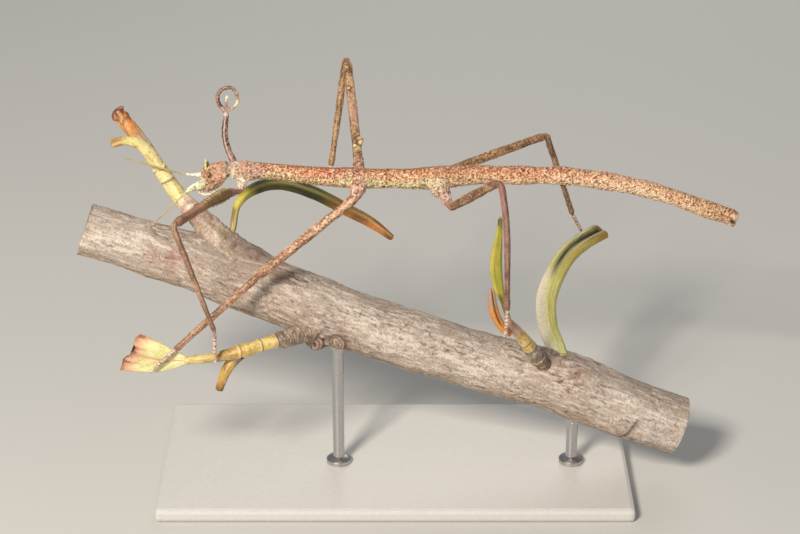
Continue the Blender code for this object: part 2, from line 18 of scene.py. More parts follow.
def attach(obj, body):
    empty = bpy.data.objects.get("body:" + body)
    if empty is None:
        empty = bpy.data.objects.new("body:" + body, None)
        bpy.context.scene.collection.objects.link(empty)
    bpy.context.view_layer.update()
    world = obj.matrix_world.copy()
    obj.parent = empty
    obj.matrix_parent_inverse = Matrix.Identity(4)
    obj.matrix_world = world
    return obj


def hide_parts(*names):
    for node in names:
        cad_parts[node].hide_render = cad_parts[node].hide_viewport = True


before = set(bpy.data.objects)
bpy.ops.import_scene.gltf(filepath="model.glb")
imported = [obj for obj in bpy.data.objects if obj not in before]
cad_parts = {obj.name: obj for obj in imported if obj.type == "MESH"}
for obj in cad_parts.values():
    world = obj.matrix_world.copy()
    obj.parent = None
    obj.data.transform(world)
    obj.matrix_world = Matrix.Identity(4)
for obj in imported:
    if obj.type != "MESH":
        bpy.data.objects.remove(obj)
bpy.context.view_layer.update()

# ---------------------------------------------------------------- sizes of the solids
MM = 0.001
BODY_HEIGHT = 90.0
JOINT_GAP = 0.45                    # how far past a joint the next leg part starts to bend
ELBOW = 1.15                        # radius of a joint's bend
STRAIGHT_JOINT = math.radians(12)   # a smaller turn has no bend

# Rows: x and height of the middle line; x and half sizes of the trunk, across and upwards.
BODY_AXIS = [(-46.5, 2.45), (-44.0, 2.2), (-39.2, 1.8), (-36.5, 1.85), (-31.1, 1.4),
             (-25.7, 0.8), (-20.0, 0.25), (-16.0, -0.02), (-8.0, -0.4), (0.0, -0.4),
             (4.1, -0.55), (8.1, -0.4), (13.0, -0.05), (18.0, 0.35), (23.0, 0.75),
             (31.1, 0.55), (39.2, 0.5), (45.4, 0.35), (50.0, -0.2), (58.1, -1.4),
             (66.2, -3.1), (74.8, -5.68), (79.9, -7.6), (85.3, -9.65), (90.5, -11.5),
             (97.0, -13.9)]
TRUNK = [(-45.2, 1.7, 1.75), (-43.6, 2.35, 2.25), (-41.6, 2.6, 2.5), (-39.2, 2.6, 2.6),
         (-36.5, 2.25, 2.2), (-31.1, 2.2, 2.18), (-25.7, 2.3, 2.27), (-20.2, 2.48, 2.46),
         (-16.2, 2.58, 2.55), (-12.2, 2.9, 2.75), (-9.0, 2.8, 2.75), (-5.4, 2.65, 2.6),
         (0.0, 2.62, 2.6), (4.1, 2.8, 2.75), (8.1, 3.08, 2.98), (12.2, 3.2, 3.05),
         (16.2, 2.9, 2.85), (20.2, 2.62, 2.6), (23.2, 2.58, 2.58), (28.0, 2.35, 2.32),
         (34.4, 2.52, 2.52), (39.5, 2.2, 2.16), (45.0, 2.5, 2.48), (50.5, 2.3, 2.28),
         (57.5, 2.48, 2.48), (63.0, 2.2, 2.2), (69.2, 2.3, 2.3), (74.5, 2.08, 2.08),
         (80.2, 2.2, 2.2), (85.5, 2.42, 2.42), (89.5, 2.12, 2.1), (93.5, 2.2, 2.12)]
THORAX_ENDS = (-39.8, -8.2, 12.9)
ABDOMEN_ENDS = (23.2, 34.0, 44.8, 57.5, 69.0, 80.0, 85.8, 88.8, 90.9)
TAIL_END = 92.8

# Rows: x, height, and half sizes across and upwards.
HEAD = [(-44.95, 2.2, 1.75, 1.75), (-45.5, 2.0, 2.05, 2.3), (-46.7, 1.25, 2.3, 3.1),
        (-48.3, 0.4, 2.42, 3.6), (-50.0, -0.2, 2.35, 3.65), (-51.2, -0.5, 2.1, 3.6),
        (-51.9, -0.6, 1.7, 3.2), (-52.2, -0.6, 1.1, 2.4)]
HEAD_SQUARENESS = 2.4
EYE_RADIUS = 0.72
EYE_PLACE = (-49.8, 2.12, 1.35)

# Hip place, then length, heading and rise of each part.
LEGS = {
    "fore_left": {"hip": (-41.0, -1.6, -0.2), "coxa": (2.6, -105, -42),
                  "femur": (31.3, -118, 3.9), "tibia": (33.5, 16.7, -74.9),
                  "tarsus": (9.2, 100, -85)},
    "mid_left": {"hip": (-9.6, -1.6, -0.8), "coxa": (3.9, -112, -47),
                 "femur": (33.6, -153, -31.5), "tibia": (29.9, -155.5, -35),
                 "tarsus": (8.8, -175, -42)},
    "hind_left": {"hip": (10.8, -1.8, -0.4), "coxa": (7.0, -42, -46),
                  "femur": (33.4, -66.4, 30.3), "tibia": (38.2, 46.8, -81.7),
                  "tarsus": (7.8, 112, -84.4)},
    "mid_right": {"hip": (-9.6, 1.8, 0.8), "coxa": (3.6, 98, 38),
                  "femur": (32.6, 96.9, 33.6), "tibia": (28.9, -122.4, -72.4),
                  "tarsus": (8.0, -158, -27)},
    "hind_right": {"hip": (11.0, 1.8, -0.8), "coxa": (4.6, 62, -4),
                   "femur": (34.2, 34, 5), "tibia": (38.5, 61.2, -55.6),
                   "tarsus": (7.6, -15.8, -61.2)},
}
BOWS = {"fore_left_femur": (0.3, 0.4, 1.5), "hind_left_tibia": (0.9, 0.0, 0.0)}
BOW_LEAN = 0.7                      # below 1, a bow is strongest near the base
# Rows: share of the length, half sizes across and in depth.
FEMUR_SIZES = {"fore": ((0, 0.75, 0.7), (0.07, 0.78, 0.75), (0.17, 0.92, 1.2), (0.32, 1.0, 1.72),
                        (0.5, 1.0, 1.42), (0.68, 0.95, 1.15), (1, 0.95, 1.15)),
               "mid": ((0, 1.45, 1.45), (0.1, 1.2, 1.22), (0.42, 1.25, 1.32), (1, 1.1, 1.15)),
               "hind": ((0, 1.0, 1.05), (0.42, 1.05, 1.2), (1, 1.0, 1.05))}
TIBIA_SIZES = {"fore": ((0, 0.78, 0.78), (0.42, 0.7, 0.75), (1, 0.6, 0.6)),
               "mid": ((0, 0.9, 0.92), (0.42, 0.86, 0.9), (1, 0.7, 0.72)),
               "hind": ((0, 0.78, 0.82), (0.42, 0.74, 0.78), (1, 0.62, 0.64))}
COXA_RADII = {"fore_left": (1.5, 1.45, 1.3, 1.0), "mid_left": (2.0, 2.35, 2.15, 1.6),
              "hind_left": (2.1, 2.85, 1.9, 1.05), "mid_right": (1.6, 1.5, 1.45, 1.35),
              "hind_right": (1.8, 1.7, 1.5, 1.2)}
TARSUS_RADIUS = 0.62

CURL_LINE = [(-43.1, 1.2, 1.6), (-43.6, 1.5, 4.0), (-44.5, 1.7, 6.1), (-45.3, 1.9, 8.7),
             (-45.7, 2.1, 11.6), (-45.5, 2.5, 14.5), (-45.3, 2.7, 16.0), (-45.3, 2.9, 17.2),
             (-45.9, 3.0, 18.4), (-47.1, 3.0, 19.9), (-47.4, 3.0, 21.8), (-46.8, 3.0, 23.4),
             (-45.4, 2.9, 24.4), (-43.7, 2.8, 24.6), (-42.5, 2.6, 23.7), (-42.0, 2.4, 22.1),
             (-42.1, 2.2, 20.6), (-43.0, 2.0, 19.4), (-44.3, 1.9, 18.8), (-45.0, 1.8, 19.9),
             (-45.0, 1.7, 21.5), (-44.5, 1.6, 22.9)]
CURL_RADII = [0.8, 0.82, 0.84, 0.82, 0.6, 0.55, 0.5, 0.42, 0.4, 0.34]


# ---------------------------------------------------------------- colour and noise
def hue(code):
    """Linear colour from a hexadecimal screen colour."""
    screen = np.array([int(code[i:i + 2], 16) for i in (0, 2, 4)]) / 255
    return np.where(screen <= 0.04045, screen / 12.92, ((screen + 0.055) / 1.055) ** 2.4)


def mix(a, b, share):
    """Blend of two colours or colour fields, point by point."""
    share = np.clip(np.asarray(share, float), 0, 1)[..., None]
    return a + (b - a) * share


def ramp(value, low, high):
    """0 below low, 1 above high and a smooth rise between them."""
    t = np.clip((value - low) / (high - low), 0, 1)
    return t * t * (3 - 2 * t)


def bell(value, middle, width):
    """1 at the middle and falling away over the width."""
    return np.exp(-((value - middle) / width) ** 2)


def dice(cells, seed):
    """Fixed random number in 0..1 for each whole-number cell."""
    c = cells.astype(np.uint64)
    h = (c[..., 0] * np.uint64(73856093)) ^ (c[..., 1] * np.uint64(19349663)) \
        ^ (c[..., 2] * np.uint64(83492791)) ^ np.uint64(seed * 2654435761 + 97)
    h = (h ^ (h >> np.uint64(13))) * np.uint64(1274126177)
    h = (h ^ (h >> np.uint64(16))) * np.uint64(668265263)
    return ((h ^ (h >> np.uint64(15))) & np.uint64(0xFFFFFF)).astype(float) / 0xFFFFFF


def noise(points, size, seed=0):
    """Smooth noise in -1..1 with features about size across."""
    p = points / size + 500.5
    cell = np.floor(p)
    f = p - cell
    f = f * f * (3 - 2 * f)
    total = np.zeros(len(p))
    for corner in np.ndindex(2, 2, 2):
        weight = np.prod(np.where(corner, f, 1 - f), axis=1)
        total += weight * dice(cell + corner, seed)
    return 2 * total - 1


def rough(points, size, layers=3, seed=0):
    """Noise with finer and fainter layers added."""
    total = np.zeros(len(points))
    for k in range(layers):
        total += noise(points, size * 0.5 ** k, seed + k) * 0.55 ** k
    return total


def granules(points, size, seed=0):
    """Round grains: 1 at the middle of each grain and 0 at its edge."""
    p = points / size + 500.5
    cell = np.floor(p)
    nearest = np.full(len(p), 9.0)
    for step in np.ndindex(3, 3, 3):
        c = cell + step - 1
        middle = np.stack([c[:, k] + 0.15 + 0.7 * dice(c, seed + k) for k in range(3)], axis=1)
        nearest = np.minimum(nearest, np.linalg.norm(p - middle, axis=1))
    return np.clip(1 - nearest / 0.62, 0, 1)


def wave(turns):
    """1 at every whole number of turns and 0 half way between."""
    return 0.5 + 0.5 * np.cos(2 * np.pi * turns)


# ---------------------------------------------------------------- lines and tubes
def curve(points, step):
    """Points every step along a Catmull-Rom curve through the given ones."""
    p = np.array(points, float)
    p = np.vstack([2 * p[0] - p[1], p, 2 * p[-1] - p[-2]])
    t = np.linspace(0, 1, 24, endpoint=False)[:, None]
    spans = [0.5 * (2 * b + (c - a) * t + (2 * a - 5 * b + 4 * c - d) * t ** 2
                    + (3 * b - a - 3 * c + d) * t ** 3)
             for a, b, c, d in zip(p, p[1:], p[2:], p[3:])]
    return even(np.vstack(spans + [p[-2:-1]]), step)


def even(path, step):
    """The same line with points an even distance apart."""
    run = travel(path)
    count = max(int(round(run[-1] / step)), 2) + 1
    places = np.linspace(0, run[-1], count)
    return np.stack([np.interp(places, run, path[:, k]) for k in range(path.shape[1])], axis=1)


def travel(path):
    """Distance of each point from the first, along the line."""
    return np.concatenate([[0], np.cumsum(np.linalg.norm(np.diff(path, axis=0), axis=1))])


def read(table, places):
    """Columns of a table (key, value, ...) at the places, by a smooth curve through its rows."""
    rows = np.array(table, float)
    fine = curve(rows, 0.05)
    return [np.interp(places, fine[:, 0], fine[:, k]) for k in range(1, rows.shape[1])]


def along(values, share):
    """Evenly spaced values read at shares 0..1 of the way, by straight lines."""
    return np.interp(share, np.linspace(0, 1, len(values)), values)


def unit(v):
    """The same direction, one long."""
    v = np.asarray(v, float)
    return v / np.linalg.norm(v, axis=-1, keepdims=True)


def heading(azimuth, rise):
    """Unit vector from a heading and a rise in degrees."""
    a, r = math.radians(azimuth), math.radians(rise)
    return np.array([math.cos(a) * math.cos(r), math.sin(a) * math.cos(r), math.sin(r)])


class Tube:
    """A length of something: its middle line, its frames and its half sizes."""

    def __init__(self, name, path, wide, high, first_up=(0, 0, 1), power=2.0, upright=False):
        self.name = name
        self.path = np.asarray(path, float)
        count = len(self.path)
        self.wide = np.broadcast_to(np.asarray(wide, float), count)
        self.high = np.broadcast_to(np.asarray(high, float), count)
        self.power = power
        self.run = travel(self.path)
        tangent = unit(np.gradient(self.path, axis=0))
        up = np.empty_like(tangent)
        last = np.array(first_up, float)
        if upright:
            tangent[:] = unit(np.array([self.path[-1, 0] - self.path[0, 0], 0, 0]))
        for i in range(count):
            last = unit(last - tangent[i] * last.dot(tangent[i]))
            up[i] = last
        self.tangent, self.up = tangent, up
        self.side = np.cross(up, tangent)

    def rings(self, sides):
        """Surface points, one ring of the given number of sides for each point of the line."""
        angle = 2 * np.pi * np.arange(sides) / sides
        c, s = np.cos(angle), np.sin(angle)
        c = np.copysign(np.abs(c) ** (2 / self.power), c)
        s = np.copysign(np.abs(s) ** (2 / self.power), s)
        return (self.path[:, None] + self.side[:, None] * (self.wide[:, None] * c)[..., None]
                + self.up[:, None] * (self.high[:, None] * s)[..., None])


def tube_faces(rows, sides):
    """Quads round a closed tube, and one face on each end."""
    quads = []
    for r in range(rows - 1):
        a, b = r * sides, (r + 1) * sides
        quads += [(a + k, a + (k + 1) % sides, b + (k + 1) % sides, b + k) for k in range(sides)]
    return quads + [tuple(range(sides))[::-1], tuple(range((rows - 1) * sides, rows * sides))]


# ---------------------------------------------------------------- pieces and materials
def piece(name, points, faces, finish, replaces, tint, speckle, smooth_below, uv):
    """One visible piece from points in millimetres, with its colours and its UV map."""
    mesh = bpy.data.meshes.new(name)
    mesh.from_pydata(((points + (0, 0, BODY_HEIGHT)) * MM).tolist(), [], faces)
    rgba = np.concatenate([tint, np.ones((len(tint), 1))], axis=1).clip(0, 1)
    for field, kind, key, values in (
            ("tint", "FLOAT_COLOR", "color", rgba),
            ("speckle", "FLOAT", "value", np.broadcast_to(speckle, len(points)))):
        made = mesh.attributes.new(field, kind, "POINT")
        made.data.foreach_set(key, values.astype(np.float32).ravel())
    mesh.uv_layers.new(name="OFBake").data.foreach_set("uv", uv.astype(np.float32).ravel())
    mesh.materials.append(finish)
    mesh.shade_smooth()
    mesh.set_sharp_from_angle(angle=math.radians(smooth_below))
    made = bpy.data.objects.new(name, mesh)
    bpy.context.scene.collection.objects.link(made)
    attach(made, "root")
    if replaces:
        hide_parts(*replaces)


def plug(tree, socket, value):
    """Feed a socket from another one, or set its plain value."""
    if isinstance(value, bpy.types.NodeSocket):
        tree.links.new(value, socket)
    else:
        socket.default_value = value


def add(tree, kind, **settings):
    """A shader node. Capitalised settings are inputs, with _ for a space; others are fields."""
    made = tree.nodes.new(kind)
    for key, value in settings.items():
        if key[0].islower():
            setattr(made, key, value)
        else:
            plug(tree, made.inputs[key.replace("_", " ")], value)
    return made


def blank(name, **principled):
    """A material with its node tree and its Principled shader."""
    material = bpy.data.materials.new(name)
    material.use_nodes = True
    tree = material.node_tree
    shader = tree.nodes["Principled BSDF"]
    for key, value in principled.items():
        shader.inputs[key.replace("_", " ")].default_value = value
    return material, tree, shader


def span(tree, value, low, high, to_low, to_high):
    """A number socket carried from one range to another and held inside it."""
    made = add(tree, "ShaderNodeMapRange", Value=value, From_Min=low, From_Max=high,
               To_Min=to_low, To_Max=to_high)
    return made.outputs["Result"]


def blend(tree, way, factor, a, b):
    """Colour mix of two sockets or plain colours."""
    made = add(tree, "ShaderNodeMix", data_type="RGBA", blend_type=way)
    for socket, value in zip((made.inputs["Factor"], *made.inputs[6:8]), (factor, a, b)):
        plug(tree, socket, value)
    return made.outputs[2]


def finish_off(tree, shader, colour, fine, gloss, strength, depth):
    """Give the shader its colour, its range of gloss and fine relief, depth millimetres deep."""
    plug(tree, shader.inputs["Base Color"], colour)
    plug(tree, shader.inputs["Roughness"], span(tree, fine, *gloss))
    bump = add(tree, "ShaderNodeBump", Height=fine, Strength=strength, Distance=depth * MM)
    plug(tree, shader.inputs["Normal"], bump.outputs["Normal"])


def tinted(name, roughness, grain, depth, speck=None, **principled):
    """Material that shows the tint field, with grain finer than the mesh. Sizes in mm.

    grain is the size of the fine relief, depth its depth, and speck an optional
    (size, threshold, colour, strength) of small spots, scaled by the speckle field.
    """
    material, tree, shader = blank(name, **principled)
    place = add(tree, "ShaderNodeTexCoord").outputs["Object"]
    fine = add(tree, "ShaderNodeTexNoise", Vector=place, Scale=1 / (grain * MM), Detail=5,
               Roughness=0.6).outputs["Fac"]
    colour = add(tree, "ShaderNodeAttribute", attribute_name="tint").outputs["Color"]
    colour = blend(tree, "MULTIPLY", 1.0, colour, span(tree, fine, 0.3, 0.7, 0.78, 1.2))
    if speck:
        size, threshold, code, strength = speck
        dots = add(tree, "ShaderNodeTexNoise", Vector=place, Scale=1 / (size * MM), Detail=2,
                   Roughness=0.5).outputs["Fac"]
        amount = add(tree, "ShaderNodeAttribute", attribute_name="speckle").outputs["Fac"]
        factor = add(tree, "ShaderNodeMath", operation="MULTIPLY")
        plug(tree, factor.inputs[0], span(tree, dots, threshold, threshold + 0.06, 0, strength))
        plug(tree, factor.inputs[1], amount)
        colour = blend(tree, "MIX", factor.outputs[0], colour, (*hue(code), 1))
    finish_off(tree, shader, colour, fine, (0.25, 0.75, roughness - 0.12, roughness + 0.12),
               0.8, depth)
    return material


# ---------------------------------------------------------------- the insect's flesh
STEP = 0.25                      # spacing of points along the lines of flesh
SKIN_SIDES = 40
VOXEL = 0.14
RELAX_ROUNDS, HIP_ROUNDS = 5, 60
LEFT_LEGS = ("fore_left", "mid_left", "hind_left")
FOOT_SHARES = (0.36, 0.17, 0.13, 0.11, 0.23)   # lengths of the five segments of a foot


def elbow_path(start, into, end):
    """Line that leaves start along into, turns on a small arc and runs straight to end."""
    onward = unit(end - start)
    if math.acos(np.clip(into.dot(onward), -1, 1)) < STRAIGHT_JOINT:
        return even(np.array([start, end]), STEP)
    for _ in range(4):
        angle = math.acos(np.clip(into.dot(onward), -1, 1))
        across = unit(onward - into * onward.dot(into))
        turns = np.linspace(0, angle, 9)[:, None]
        arc = start + ELBOW * (np.sin(turns) * into + (1 - np.cos(turns)) * across)
        onward = unit(end - arc[-1])
    return even(np.vstack([arc, end]), STEP)


def part_sizes(path, stations):
    """Half widths and half depths along a leg part, eased between the stations of its table."""
    at, wide, high = np.array(stations).T
    places = np.interp(travel(path) / travel(path)[-1], at, np.arange(len(at)))
    low = np.clip(np.floor(places).astype(int), 0, len(at) - 2)
    t = places - low
    t = t * t * (3 - 2 * t)
    return [size[low] * (1 - t) + size[low + 1] * t for size in (wide, high)]


def leg_tubes(name, parts):
    """Coxa, femur, tibia and foot of one leg as overlapping tubes."""
    pair = name.split("_")[0]
    hip = np.array(parts["hip"])
    into = heading(*parts["coxa"][1:])
    tip = hip + into * parts["coxa"][0]
    line = even(np.array([hip, tip + into * 0.5]), STEP)
    size = along(COXA_RADII[name], travel(line) / parts["coxa"][0])
    tubes = [Tube(name + "_coxa", line, size, size)]
    joint = tip
    for part, sizes in (("femur", FEMUR_SIZES[pair]), ("tibia", TIBIA_SIZES[pair])):
        length, azimuth, rise = parts[part]
        end = joint + heading(azimuth, rise) * length
        line = elbow_path(joint + into * JOINT_GAP, into, end)
        share = travel(line) / travel(line)[-1]
        bow = np.sin(np.pi * share ** BOW_LEAN) ** 1.5
        line = line + np.outer(bow, BOWS.get(name + "_" + part, (0, 0, 0)))
        wide, high = part_sizes(line, sizes)
        swell = 1 + 0.10 * bell(share, 0.96, 0.03) - 0.12 * bell(share, 1.0, 0.02) \
            - 0.14 * bell(share, 0.0, 0.03)
        line = np.vstack([line[0] - into * 0.6, line])
        swell = np.concatenate([[0.8], swell])
        wide = np.concatenate([wide[:1], wide])
        high = np.concatenate([high[:1], high])
        tubes.append(Tube(name + "_" + part, line, wide * swell, high * swell, power=2.3))
        into = unit(line[-1] - line[-2])
        joint = end
    tubes.append(foot_tube(name, parts["tarsus"], joint, into))
    return tubes


def foot_tube(name, reach, joint, into):
    """Foot of five segments, each a little thicker at its end, after a small bend."""
    length, azimuth, rise = reach
    onward = heading(azimuth, rise)
    line = curve([joint - into * 0.4, joint + (into + onward) * 0.3, joint + onward * length * 0.5,
                  joint + onward * (length - 0.25)], 0.12)
    share = travel(line) / travel(line)[-1]
    radius = np.zeros(len(line))
    start = 0.0
    for part in FOOT_SHARES:
        t = np.clip((share - start) / part, 0, 1)
        inside = (share >= start) & (share <= start + part + 1e-6)
        profile = 0.78 + 0.3 * ramp(t, 0.35, 0.85) - 0.25 * ramp(t, 0.9, 1.0)
        radius = np.where(inside, profile, radius)
        start += part
    radius = np.maximum(radius, 0.6) * TARSUS_RADIUS * (1 - 0.15 * share)
    return Tube(name + "_tarsus", line, radius, radius * 0.92)


def curl_tube():
    """The regrown right foreleg: a stalk that ends in a flat spiral closing inwards."""
    line = curve(CURL_LINE, STEP)
    share = travel(line) / travel(line)[-1]
    stem = ramp(share, 0.0, 0.42)
    radius = along(CURL_RADII, share) * (1 + 0.5 * bell(share, 0.0, 0.06))
    knots = 1 + 0.05 * np.sin(travel(line) * 2 * np.pi / 3.1) * (1 - stem) \
        + 0.10 * bell(share, 0.42, 0.015) + 0.08 * np.sin(travel(line) * 2 * np.pi / 1.9) * stem
    return Tube("fore_right", line, radius * knots, radius * knots, first_up=(0, 1, 0))


def trunk_tube():
    """Thorax and abdomen from neck to tail."""
    line = curve([(x, 0, z) for x, z in BODY_AXIS], STEP)
    line = line[(line[:, 0] >= -46.2) & (line[:, 0] <= TAIL_END)]
    wide, high = read(TRUNK, line[:, 0])
    neck = 1 - 0.25 * ramp(-line[:, 0], 44.3, 45.6)
    tail = 1 - 0.10 * bell(line[:, 0], TAIL_END + 0.3, 0.5)
    return Tube("trunk", line, wide * neck * tail, high * neck * tail)


def head_tube():
    """Head from the neck to the rounded face."""
    x = np.linspace(HEAD[0][0], HEAD[-1][0], 40)
    table = sorted([(-row[0],) + row[1:] for row in HEAD])
    height, wide, high = read(table, -x)
    line = np.stack([x, np.zeros_like(x), height], axis=1)
    return Tube("head", line, wide, high, power=HEAD_SQUARENESS, upright=True)


def merge(tubes):
    """Closed mesh of all the tubes together: its points, its faces and its edges."""
    points, faces = [], []
    for tube in tubes:
        rings = tube.rings(SKIN_SIDES)
        faces += [tuple(len(points) + k for k in face)
                  for face in tube_faces(len(rings), SKIN_SIDES)]
        points += rings.reshape(-1, 3).tolist()
    mesh = bpy.data.meshes.new("flesh")
    mesh.from_pydata(points, [], faces)
    made = bpy.data.objects.new("flesh", mesh)
    bpy.context.scene.collection.objects.link(made)
    remesh = made.modifiers.new("one skin", "REMESH")
    remesh.mode = "VOXEL"
    remesh.voxel_size = VOXEL
    whole = made.evaluated_get(bpy.context.evaluated_depsgraph_get()).to_mesh()
    found = []
    for items, key, each, width, kind in ((whole.vertices, "co", 3, 3, np.float32),
                                          (whole.loops, "vertex_index", 1, 4, np.int32),
                                          (whole.edges, "vertices", 2, 2, np.int32)):
        values = np.empty(len(items) * each, kind)
        items.foreach_get(key, values)
        found.append(values.reshape(-1, width))
    bpy.data.objects.remove(made)
    return found[0].astype(float), *found[1:]


def spread_out(values, edges, share):
    """Each point's value moved towards the mean of its neighbours."""
    flat = values.reshape(len(values), -1)
    total = np.zeros_like(flat)
    count = np.bincount(edges.ravel(), minlength=len(flat))
    for k in range(flat.shape[1]):
        total[:, k] = np.bincount(edges[:, 0], flat[edges[:, 1], k], len(flat)) \
            + np.bincount(edges[:, 1], flat[edges[:, 0], k], len(flat))
    mean = total / np.maximum(count, 1)[:, None]
    return (flat + (mean - flat) * share).reshape(values.shape)


def relax(points, edges, rounds):
    """Even out the voxel steps without shrinking the form."""
    for _ in range(rounds):
        points = spread_out(points, edges, 0.5)
        points = spread_out(points, edges, -0.52)
    return points


def from_hip(points, leg, out):
    """Distance of points from a place some way out along a leg's coxa."""
    place = np.array(LEGS[leg]["hip"]) + heading(*LEGS[leg]["coxa"][1:]) * out
    return np.linalg.norm(points - place, axis=1)


def soften_hips(points, edges):
    """Rounded hollows where the left coxae and the body meet, in place of sharp seams."""
    near = sum(np.exp(-(from_hip(points, leg, 1.5) / 3.2) ** 4) for leg in LEFT_LEGS)
    own = near > 0.02
    kept = edges[own[edges].any(axis=1)]
    share = np.where(own, 0.5 * np.clip(near, 0, 1), 0)[:, None]
    for _ in range(HIP_ROUNDS):
        points = spread_out(points, kept, share)
    return points


def normals(points, quads):
    """Outward direction at each point of a mesh of quads."""
    a, b, c, d = (points[quads[:, k]] for k in range(4))
    face = np.cross(c - a, d - b)
    total = np.zeros_like(points)
    for k in range(4):
        for axis in range(3):
            total[:, axis] += np.bincount(quads[:, k], face[:, axis], len(points))
    return unit(total + 1e-12)


def nearest_rows(points, tubes, sides=16):
    """For each point, which row of all the tubes' rings comes closest to it."""
    rings = np.vstack([tube.rings(sides).reshape(-1, 3) for tube in tubes])
    tree = KDTree(len(rings))
    for n, p in enumerate(rings):
        tree.insert(p, n // sides)
    tree.balance()
    return np.array([tree.find(p)[1] for p in points])


class Places:
    """Where points lie: on which tube, how far along it, and on which side of its line."""

    def __init__(self, points, tubes, row):
        path, tangent, side, up = (np.vstack([getattr(t, key) for t in tubes])[row]
                                   for key in ("path", "tangent", "side", "up"))
        run, wide, high = (np.concatenate([getattr(t, key) for t in tubes])[row]
                           for key in ("run", "wide", "high"))
        offset = points - path
        self.part = np.repeat(np.arange(len(tubes)), [len(t.path) for t in tubes])[row]
        self.along = run + (offset * tangent).sum(axis=1)
        self.out = (offset * side).sum(axis=1)
        self.rise = (offset * up).sum(axis=1)
        self.angle = np.arctan2(self.rise / high, self.out / wide)


# ---------------------------------------------------------------- markings and relief
# A painter gets one part as q. It sets q.tint, how far the points stand out in millimetres
# as q.relief, and how strongly the finest specks show as q.speckle. Colours are
# hexadecimal screen colours, laid over one another from the first to the last.
class Surface:
    """Points of one part and the colours laid on them so far."""

    speckle = 0.4

    def start(self, first, second, share):
        """First coat: a blend of two colours."""
        self.tint = mix(hue(first), hue(second), share)

    def lay(self, code, share):
        """One more colour over the others."""
        self.tint = mix(self.tint, hue(code), share)

    def dim(self, factor, share):
        """The colours laid so far, darkened."""
        self.tint = mix(self.tint, self.tint * factor, share)

    def wormed(self, dark, pale, seed, size, strength=1.0, at=None):
        """Pale winding ridges and dark gaps over the colour. Gives the ridges' height."""
        p = self.p if at is None else at
        worm = noise(p, size, seed) + 0.4 * noise(p, size * 0.55, seed + 1)
        patchy = strength * (0.85 + 0.3 * noise(p, 4 * size, seed + 2))
        self.lay(dark, patchy * ramp(-worm, 0.06, 0.46))
        self.lay(pale, patchy * 0.75 * ramp(worm, 0.1, 0.55))
        return np.clip(worm, -0.7, 0.8)

    def turned(self, degrees):
        """Angle of each point from a place round the part, between -pi and pi."""
        return (self.angle - math.radians(degrees) + np.pi) % (2 * np.pi) - np.pi


def by_place(places, rows):
    """Colours read at the places from rows of (place, colour code)."""
    at, codes = zip(*rows)
    levels = np.array([hue(code) for code in codes])
    return np.stack([np.interp(places, at, levels[:, k]) for k in range(3)], axis=1)


BACK_HUES = [(-46, "b08a6c"), (-41, "bd9078"), (-37, "c08c72"), (-33, "c8875a"), (-18, "cd7748"),
             (-11, "b8765c"), (-7, "c57f50"), (8, "c98150"), (14, "b8784a"), (24, "d08a5c"),
             (40, "d28c62"), (52, "e2a57b"), (64, "ecbb92"), (76, "e3ae82"), (90, "d49c70")]
BELLY_HUES = [(-46, "bfa480"), (-41, "c4a385"), (-34, "bba173"), (-18, "cda678"), (-9, "c2b481"),
              (0, "dcc490"), (9, "c9bd8c"), (16, "cfa67c"), (26, "deb48a"), (40, "e3b48e"),
              (52, "eac29c"), (64, "efd0aa"), (76, "e6c096"), (90, "dcae84")]


